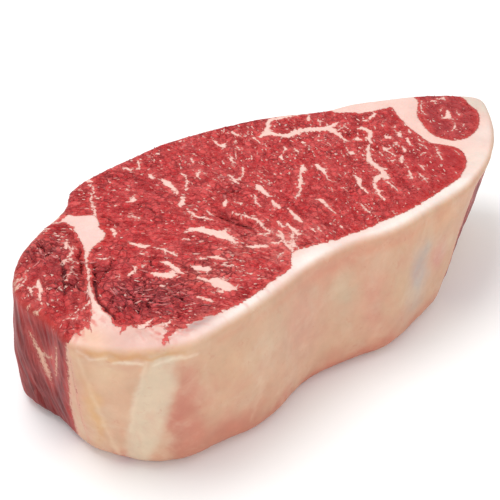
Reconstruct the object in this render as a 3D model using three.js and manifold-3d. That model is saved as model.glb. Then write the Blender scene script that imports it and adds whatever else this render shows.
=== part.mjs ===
// A raw striploin steak, two inches thick, lying on one of its two cut faces.
//
// The steak is one slice through the loin, so every muscle runs from the lower cut face to the
// upper one: the big eye muscle, the flat end muscle beside it, and the small round muscle in the
// tail. The fat cap wraps the front, fills the seams between the muscles and rounds the tail.
// Each of the four is its own solid. Units are millimetres, +Z is up, the origin is under the
// middle of the steak, and the fat cap faces -Y.

import * as THREE from 'three';
import { mergeVertices } from 'three/addons/utils/BufferGeometryUtils.js';
import Module from 'manifold-3d';

const wasm = await Module();
wasm.setup();

// ---- driving dimensions ----

const thickness = 52; // from cut face to cut face
const upperEdgeRadius = 3; // the knife leaves the upper edge fairly crisp
const footEdgeRadius = 6; // the lower edge is rolled under by the steak's own weight
const swell = 1.2; // how far the soft sides bulge at half height
const seamGap = 0.3; // clearance between a muscle and the fat that wraps it
const middleEnds = [-62, 58]; // x of the two ends of the line that the outline narrows towards
const middleShare = 0.9; // how far along that line a point of the outline looks
const sidesRound = 104; // points round the outline
const footSteps = 4; // rings in the rolled lower edge
const wallSteps = 4; // rings up the wall
const upperSteps = 3; // rings in the upper edge

// The outline, anticlockwise seen from above, from the left tip along the fat cap to the tail and
// back over the lean side: x and y where the side meets the upper cut face, then the lower one.
// The tail overhangs, because its end was trimmed at a slant.
const outline = [
  [-108.5, -26, -103.5, -23],
  [-102.5, -35, -100, -30.5],
  [-93, -43.5, -93, -40.5],
  [-82, -49, -83, -47],
  [-67.5, -49.5, -70, -49.5],
  [-48, -48, -52.5, -51.5],
  [-28, -45, -30, -47],
  [-10, -45.5, -11, -49],
  [8, -49.5, 6, -53],
  [29.5, -49.5, 26.5, -50.5],
  [51, -48, 42, -46],
  [69.5, -42.5, 50.5, -40.5],
  [85, -34, 68, -31],
  [101, -20.5, 85.5, -19],
  [111.5, -7, 94.5, -7.5],
  [105, 2, 88, 1.5],
  [89, 15.5, 76, 15],
  [69.5, 25.5, 60, 24.5],
  [56, 29, 48, 28.5],
  [31.5, 41.5, 28, 40],
  [5, 49.5, 5, 47],
  [-15.5, 52.5, -15, 50],
  [-42, 51, -38.5, 49],
  [-59.5, 47.5, -56, 45.5],
  [-68.5, 38.5, -67, 38],
  [-86, 30, -84, 31.5],
  [-100.5, 18.5, -99.5, 24.5],
  [-108, 5, -106.5, 14],
  [-107.5, -12, -104.5, -4],
];

// ---- the outlines of the three muscles on the upper cut face ----

const eyeOutline = [
  [-72, 40], [-68.5, 31], [-65, 25], [-66.5, 16], [-75.5, 11], [-83, 0.8], [-89, -9.7],
  [-92, -22], [-90, -33], [-80, -41], [-65, -45], [-48, -45], [-36, -41.8], [-27, -35.5],
  [-17, -38.7], [0, -42.5], [24, -44.8], [51, -42.5], [65, -35], [68.5, -27], [65, -17],
  [69, -2], [76, 11], [66, 15.5], [58, 23], [56, 40], [0, 62], [-45, 60],
];
const endOutline = [
  [-77, 40], [-104, 44], [-124, 10], [-120, -24], [-104, -22.5], [-98, -19], [-92, -8.5],
  [-86.5, 0.8], [-78, 14.5], [-74.6, 22], [-75.5, 31],
];
const smallOutline = [
  [89, 15], [86, 7.5], [78.5, 0.7], [72.5, -9.5], [70.3, -17], [73, -23.5], [80, -25],
  [90.5, -21.3], [98.6, -14.5], [103, -6.5], [104.5, 0], [106, 10], [98, 18],
];

// ---- relief of the upper cut face ----

// Long shallow dents: centre, half length, half width, direction in degrees, and depth.
const dents = [
  { x: -28, y: -9, halfLength: 12, halfWidth: 3.2, turn: -78, depth: 1.7 }, // fold in the eye
  { x: -80, y: -20, halfLength: 15, halfWidth: 9, turn: 60, depth: 1.1 }, // torn grain by the seam
  { x: -87, y: 0, halfLength: 18, halfWidth: 2.6, turn: 60, depth: 1.3 }, // the open seam
  { x: -71, y: 21, halfLength: 9, halfWidth: 3.5, turn: 80, depth: 0.6 }, // the wedge of fat
  { x: 44, y: 4, halfLength: 16, halfWidth: 2.4, turn: -75, depth: 0.7 }, // a seam of marbling
  { x: 70, y: -5, halfLength: 16, halfWidth: 3, turn: 68, depth: 0.5 }, // beside the small muscle
];
const leastDepth = 0.05; // the knife leaves no point quite at full thickness
const waveDepth = 0.5; // gentle waves of the whole cut face
const waveLengths = [37, 29]; // along x and along y
const cragDepth = 0.55; // short crags where the grain tears
const cragLengths = [8.5, 6.5];

/** How far the cut face lies under the full thickness at a point. */
function hollow(x, y) {
  const alongX = Math.sin((2 * Math.PI * x) / waveLengths[0] + 0.8);
  const alongY = Math.cos((2 * Math.PI * y) / waveLengths[1] + x / 40);
  let depth = leastDepth + (waveDepth * (2 + alongX + alongY)) / 4;
  let torn = 0;
  for (const dent of dents) {
    const turn = THREE.MathUtils.degToRad(dent.turn);
    const dx = x - dent.x;
    const dy = y - dent.y;
    const along = (dx * Math.cos(turn) + dy * Math.sin(turn)) / dent.halfLength;
    const across = (dy * Math.cos(turn) - dx * Math.sin(turn)) / dent.halfWidth;
    const near = Math.exp(-along * along - across * across);
    depth += dent.depth * near;
    torn = Math.max(torn, near);
  }
  const crag = Math.sin((2 * Math.PI * (x + y)) / cragLengths[0]) *
    Math.sin((2 * Math.PI * (x - 2 * y)) / cragLengths[1]);
  return depth + (cragDepth * torn * (1 + crag)) / 2;
}

// ---- rings ----

/** A closed smooth line through the given points, as evenly numbered samples. */
function smoothRing(points, z, count) {
  const curve = new THREE.CatmullRomCurve3(
    points.map(([x, y]) => new THREE.Vector3(x, y, z)),
    true,
  );
  return Array.from({ length: count }, (_, i) => curve.getPoint(i / count));
}

/** The same ring with every point moved straight out by a distance. */
function pushOut(ring, distance) {
  const count = ring.length;
  return ring.map((point, i) => {
    const before = ring[(i + count - 1) % count];
    const after = ring[(i + 1) % count];
    const along = new THREE.Vector3(after.x - before.x, after.y - before.y, 0).normalize();
    return new THREE.Vector3(
      point.x + along.y * distance,
      point.y - along.x * distance,
      point.z,
    );
  });
}

/** The same ring drawn in towards the steak's middle line by a distance; a minus lets it out. */
function drawIn(ring, distance) {
  return ring.map((point) => {
    const x = THREE.MathUtils.clamp(point.x * middleShare, middleEnds[0], middleEnds[1]);
    const inward = new THREE.Vector3(x, 0, point.z).sub(point).normalize();
    return point.clone().addScaledVector(inward, distance);
  });
}

/** The steak's outline at a height, before its edges are rounded. */
function outlineAt(z) {
  const rise = z / thickness;
  const points = outline.map(([upperX, upperY, lowerX, lowerY]) => [
    THREE.MathUtils.lerp(lowerX, upperX, rise),
    THREE.MathUtils.lerp(lowerY, upperY, rise),
  ]);
  return drawIn(smoothRing(points, z, sidesRound), -swell * Math.sin(Math.PI * rise));
}

// ---- solids from rings ----

/** A closed skin over a stack of rings, from the lowest up, with both ends capped. */
function skin(rings) {
  const count = rings[0].length;
  const positions = [];
  for (const ring of rings) {
    for (const point of ring) {
      positions.push(point.x, point.y, point.z);
    }
  }
  const index = [];
  for (let level = 0; level + 1 < rings.length; level += 1) {
    const low = level * count;
    const high = low + count;
    for (let i = 0; i < count; i += 1) {
      const next = (i + 1) % count;
      index.push(low + i, low + next, high + next);
      index.push(low + i, high + next, high + i);
    }
  }
  const flat = (ring) => ring.map((point) => new THREE.Vector2(point.x, point.y));
  const last = (rings.length - 1) * count;
  for (const [a, b, c] of THREE.ShapeUtils.triangulateShape(flat(rings[0]), [])) {
    index.push(c, b, a);
  }
  for (const [a, b, c] of THREE.ShapeUtils.triangulateShape(flat(rings.at(-1)), [])) {
    index.push(last + a, last + b, last + c);
  }
  const geometry = new THREE.BufferGeometry();
  geometry.setAttribute('position', new THREE.Float32BufferAttribute(positions, 3));
  geometry.setIndex(index);
  return geometry;
}

/** The slice with flat cut faces: rolled foot, wall and upper edge. */
function flatSlice() {
  const rings = [];
  for (let i = 0; i < footSteps; i += 1) {
    const angle = (i / footSteps) * (Math.PI / 2);
    const z = footEdgeRadius * (1 - Math.cos(angle));
    rings.push(drawIn(outlineAt(z), footEdgeRadius * (1 - Math.sin(angle))));
  }
  const wallTop = thickness - upperEdgeRadius;
  for (let i = 0; i < wallSteps; i += 1) {
    rings.push(outlineAt(THREE.MathUtils.lerp(footEdgeRadius, wallTop, i / wallSteps)));
  }
  for (let i = 0; i <= upperSteps; i += 1) {
    const angle = (i / upperSteps) * (Math.PI / 2);
    const z = wallTop + upperEdgeRadius * Math.sin(angle);
    rings.push(drawIn(outlineAt(z), upperEdgeRadius * (1 - Math.cos(angle))));
  }
  return skin(rings);
}

// A block larger than the slice, whose upper face carries the relief of the cut.
const blockSize = [232, 116]; // along x and along y
const blockCell = 4.5; // side of one square of its grid
const blockFloor = -10;
function reliefBlock() {
  const [cellsX, cellsY] = blockSize.map((side) => Math.round(side / blockCell));
  const block = new THREE.BoxGeometry(blockSize[0], blockSize[1], 1, cellsX, cellsY, 1);
  const corners = block.attributes.position;
  for (let i = 0; i < corners.count; i += 1) {
    const relief = thickness - hollow(corners.getX(i), corners.getY(i));
    corners.setZ(i, corners.getZ(i) > 0 ? relief : blockFloor);
  }
  return block;
}

/** A plug that runs through the slice along one muscle, grown by a clearance. */
const plugPoints = 60;
const plugOverrun = 5; // beyond each cut face
const plugTaper = 4; // how much narrower a muscle is at the lower face, all round
const slantStart = 40; // x past which the plug leans in with the tail's slanted end
const slantShare = 0.24; // of the distance past it, at the lower face
function musclePlug(points, clearance) {
  const ring = pushOut(smoothRing(points, 0, plugPoints), clearance);
  return skin([-plugOverrun, thickness + plugOverrun].map((z) => {
    const below = 1 - z / thickness;
    return drawIn(ring, plugTaper * below).map((point) => {
      const slant = slantShare * below * Math.max(0, point.x - slantStart);
      return new THREE.Vector3(point.x - slant, point.y, z);
    });
  }));
}

// ---- joining and cutting ----

function solidOf(geometry) {
  geometry.deleteAttribute('normal');
  geometry.deleteAttribute('uv');
  const merged = mergeVertices(geometry);
  return new wasm.Manifold(new wasm.Mesh({
    numProp: 3,
    vertProperties: new Float32Array(merged.attributes.position.array),
    triVerts: new Uint32Array(merged.index.array),
  }));
}

function geometryOf(solid) {
  const { vertProperties, triVerts } = solid.getMesh();
  const geometry = new THREE.BufferGeometry();
  geometry.setAttribute('position', new THREE.BufferAttribute(vertProperties, 3));
  geometry.setIndex(new THREE.BufferAttribute(triVerts, 1));
  geometry.computeVertexNormals();
  return geometry;
}

// ---- the steak ----

const leanMaterial = new THREE.MeshStandardMaterial({ color: 0xb9303a, roughness: 0.45 });
const darkLeanMaterial = new THREE.MeshStandardMaterial({ color: 0x9c2830, roughness: 0.5 });
const fatMaterial = new THREE.MeshStandardMaterial({ color: 0xe8c8ae, roughness: 0.5 });

const steak = new THREE.Group();
const slice = solidOf(flatSlice()).intersect(solidOf(reliefBlock()));
let fat = slice;

const muscles = [
  { name: 'eye_muscle', points: eyeOutline, material: leanMaterial },
  { name: 'end_muscle', points: endOutline, material: darkLeanMaterial },
  { name: 'small_muscle', points: smallOutline, material: leanMaterial },
];
for (const { name, points, material } of muscles) {
  const muscle = new THREE.Mesh(
    geometryOf(slice.intersect(solidOf(musclePlug(points, 0)))),
    material,
  );
  muscle.name = name;
  steak.add(muscle);
  fat = fat.subtract(solidOf(musclePlug(points, seamGap)));
}

const fatCap = new THREE.Mesh(geometryOf(fat), fatMaterial);
fatCap.name = 'fat_cap';
steak.add(fatCap);

// The outline isn't even about its own origin, so the steak is moved to stand over the middle.
const middle = new THREE.Box3().setFromObject(steak).getCenter(new THREE.Vector3());
steak.position.set(-middle.x, -middle.y, 0);

export default steak;
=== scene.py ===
# A raw striploin steak, two inches thick, lying on one of its two cut faces.
#
# Lengths are millimetres until a mesh is made. x runs from the end muscle to the tail, the fat
# cap faces -y, and z is the height over the surface that the steak lies on.

import math

import bpy
import numpy as np
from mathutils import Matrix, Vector
from mathutils.geometry import delaunay_2d_cdt


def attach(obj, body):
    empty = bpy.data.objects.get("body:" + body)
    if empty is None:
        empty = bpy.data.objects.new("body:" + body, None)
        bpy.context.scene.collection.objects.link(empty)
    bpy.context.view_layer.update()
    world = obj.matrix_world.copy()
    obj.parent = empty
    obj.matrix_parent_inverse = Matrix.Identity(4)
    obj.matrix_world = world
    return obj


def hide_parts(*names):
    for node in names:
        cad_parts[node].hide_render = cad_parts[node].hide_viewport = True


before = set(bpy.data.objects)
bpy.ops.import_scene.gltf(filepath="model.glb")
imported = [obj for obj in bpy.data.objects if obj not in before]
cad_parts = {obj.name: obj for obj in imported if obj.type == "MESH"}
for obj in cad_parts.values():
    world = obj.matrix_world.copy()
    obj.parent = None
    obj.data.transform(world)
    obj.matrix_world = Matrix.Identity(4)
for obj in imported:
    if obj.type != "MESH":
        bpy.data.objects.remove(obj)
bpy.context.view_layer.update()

# ---- Camera ----
# It stands off the left front corner and looks down on the upper cut face and the fat side, far
# enough away for the steak to keep its true proportions.

MM = 0.001


def bring_in(name, data):
    """A new object in the scene."""
    made = bpy.data.objects.new(name, data)
    bpy.context.scene.collection.objects.link(made)
    return made


def aim(thing, place, target):
    """Stands a camera or a lamp at a place and turns it to its target."""
    thing.location = place
    thing.rotation_mode = "QUATERNION"
    thing.rotation_quaternion = (Vector(target) - Vector(place)).to_track_quat("-Z", "Y")


camera_data = bpy.data.cameras.new("camera")
camera_data.sensor_width = 36
camera_data.lens = 72.2
camera = bring_in("camera", camera_data)
aim(camera, Vector((-220.6, -228.0, 242.7)) * MM, Vector((-38.4, -25.6, 52.0)) * MM)
bpy.context.scene.camera = camera

# ---- The slice ----
# The steak is one thick slice across the loin, so its muscles and its fat share one outline, a
# crisp upper edge where the knife went in and a foot that the steak's own weight rolls under.

THICKNESS = 52.0
UPPER_EDGE = 3.0  # radius
FOOT_EDGE = 6.0  # radius
SWELL = 1.2  # how far the soft sides bulge at half height
MIDDLE_ENDS = (-62.0, 58.0)  # x of the ends of the line that the outline narrows towards
MIDDLE_SHARE = 0.9  # how far along that line a point of the outline looks

# Anticlockwise from the left tip: x and y on the upper cut face, then on the lower one.
outline = np.array([
    (-108.5, -26, -103.5, -23), (-102.5, -35, -100, -30.5), (-93, -43.5, -93, -40.5),
    (-82, -49, -83, -47), (-67.5, -49.5, -70, -49.5), (-48, -48, -52.5, -51.5),
    (-28, -45, -30, -47), (-10, -45.5, -11, -49), (8, -49.5, 6, -53),
    (29.5, -49.5, 26.5, -50.5), (51, -48, 42, -46), (69.5, -42.5, 50.5, -40.5),
    (85, -34, 68, -31), (101, -20.5, 85.5, -19), (111.5, -7, 94.5, -7.5),
    (105, 2, 88, 1.5), (89, 15.5, 76, 15), (69.5, 25.5, 60, 24.5), (56, 29, 48, 28.5),
    (31.5, 41.5, 28, 40), (5, 49.5, 5, 47), (-15.5, 52.5, -15, 50), (-42, 51, -38.5, 49),
    (-59.5, 47.5, -56, 45.5), (-68.5, 38.5, -67, 38), (-86, 30, -84, 31.5),
    (-100.5, 18.5, -99.5, 24.5), (-108, 5, -106.5, 14), (-107.5, -12, -104.5, -4),
])


def smooth_line(points, where):
    """Points on a closed smooth line; 1.5 in where lies half way from points[1] to points[2]."""
    first = np.floor(where).astype(int)
    part = (where - first)[:, None]
    before, start, end, after = (points[(first + k) % len(points)] for k in (-1, 0, 1, 2))
    spans = ((before, start), (start, end), (end, after))
    a, b, c = (np.linalg.norm(q - p, axis=1)[:, None] ** 0.5 for p, q in spans)
    leave = b * ((start - before) / a - (end - before) / (a + b) + (end - start) / b)
    arrive = b * ((end - start) / b - (after - start) / (b + c) + (after - end) / c)
    square = 3 * (end - start) - 2 * leave - arrive
    cube = 2 * (start - end) + leave + arrive
    return start + part * (leave + part * (square + part * cube))


def side_ring(height, inset, where):
    """The steak's outline at a height, drawn in towards its middle line by an inset."""
    rise = height / THICKNESS
    ring = smooth_line(outline[:, 2:] + rise * (outline[:, :2] - outline[:, 2:]), where)
    inward = np.stack([np.clip(ring[:, 0] * MIDDLE_SHARE, *MIDDLE_ENDS), 0 * ring[:, 1]], 1) - ring
    inward /= np.linalg.norm(inward, axis=1)[:, None]
    return ring + inward * (inset - SWELL * math.sin(math.pi * rise))


# The levels of the side, from the upper cut face down: height, inset, and how far the skin's
# outward direction tilts up from level.
UPPER_STEPS, WALL_STEPS, FOOT_STEPS = 9, 78, 11
DEEP_STEPS = 7  # levels of the walls inside the steak
upper_tilt = np.linspace(math.pi / 2, 0, UPPER_STEPS, endpoint=False)
foot_tilt = np.linspace(0, -math.pi / 2, FOOT_STEPS + 1)
wall_height = np.linspace(THICKNESS - UPPER_EDGE, FOOT_EDGE, WALL_STEPS, endpoint=False)
level_height = np.concatenate([
    THICKNESS - UPPER_EDGE * (1 - np.sin(upper_tilt)),
    wall_height,
    FOOT_EDGE * (1 + np.sin(foot_tilt)),
])
level_inset = np.concatenate([
    UPPER_EDGE * (1 - np.cos(upper_tilt)),
    0 * wall_height,
    FOOT_EDGE * (1 - np.cos(foot_tilt)),
])
level_tilt = np.concatenate([upper_tilt, 0 * wall_height, foot_tilt])
deep_levels = np.linspace(0, len(level_height) - 1, DEEP_STEPS).astype(int)

# Stations are places round the side, measured along its outline at half height from the left
# tip: plus along the fat cap and minus along the end muscle.
STATION_COUNT = 4000
BEHIND = 150.0  # stations from here behind the left tip count on from the tail instead
dense_where = np.linspace(0, len(outline), STATION_COUNT)
dense_ring = side_ring(THICKNESS / 2, 0, dense_where)
steps = np.linalg.norm(np.diff(dense_ring, axis=0), axis=1)
dense_station = np.concatenate([[0], np.cumsum(steps)])
GIRTH = dense_station[-1]


def station_at(where):
    """The station of a point of the outline."""
    station = np.interp(where % len(outline), dense_where, dense_station)
    return (station + BEHIND) % GIRTH - BEHIND


# The skin is cut into columns, which stand closer together on the side that the camera sees.
FRONT_STEP, BACK_STEP = 0.48, 0.9
FRONT_STATIONS = (-60.0, 240.0)
dense_front = station_at(dense_where[:-1])
in_front = (dense_front > FRONT_STATIONS[0]) & (dense_front < FRONT_STATIONS[1])
tally = np.concatenate([[0], np.cumsum(steps / np.where(in_front, FRONT_STEP, BACK_STEP))])
rim_where = np.interp(np.arange(int(tally[-1])) * tally[-1] / int(tally[-1]), tally, dense_where)
rim = side_ring(THICKNESS, UPPER_EDGE, rim_where)
foot = side_ring(0, FOOT_EDGE, rim_where)

# The outline isn't even about its own origin, so the steak is moved to stand over the middle.
belly = np.linspace(20, 49, 30)  # the heights at which it is widest
reach = np.concatenate([side_ring(height, 0, dense_where) for height in belly])
middle = (reach.min(0) + reach.max(0)) / 2

# ---- Eye muscle ----
# The big marbled muscle of the loin, cut across its fibres. It is one solid body of lean with
# seams and flecks of fat grown into it; near the left end its grain is torn and dark.

eye_edge = [
    (-72, 40), (-68, 31), (-63.5, 26.5), (-66, 20), (-67.5, 14.5), (-75.5, 10.8), (-79.2, 7.2),
    (-83.3, 0.8), (-87, -5.3), (-89.3, -9.7), (-91.7, -17.2), (-92.3, -23.3), (-93.8, -27.7),
    (-90, -31), (-89, -34), (-82, -36.5), (-84, -40), (-80, -42), (-72, -42), (-65, -44),
    (-53.5, -44.5), (-44, -43), (-35.3, -41.8), (-27, -35.5), (-22.5, -36.8), (-10, -40.5),
    (6.7, -43), (22.3, -44.8), (40, -43.5), (51.7, -42.3), (60.3, -38.5), (65.3, -34.8),
    (68.8, -28.5), (66.7, -23), (64.5, -18), (67, -10), (68.3, -3.7), (70, 0), (73, 7),
    (76.2, 12.5), (72, 14), (64.7, 15.8), (59.3, 20.7), (55, 26.2), (56, 40), (0, 62), (-45, 60),
]

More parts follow.
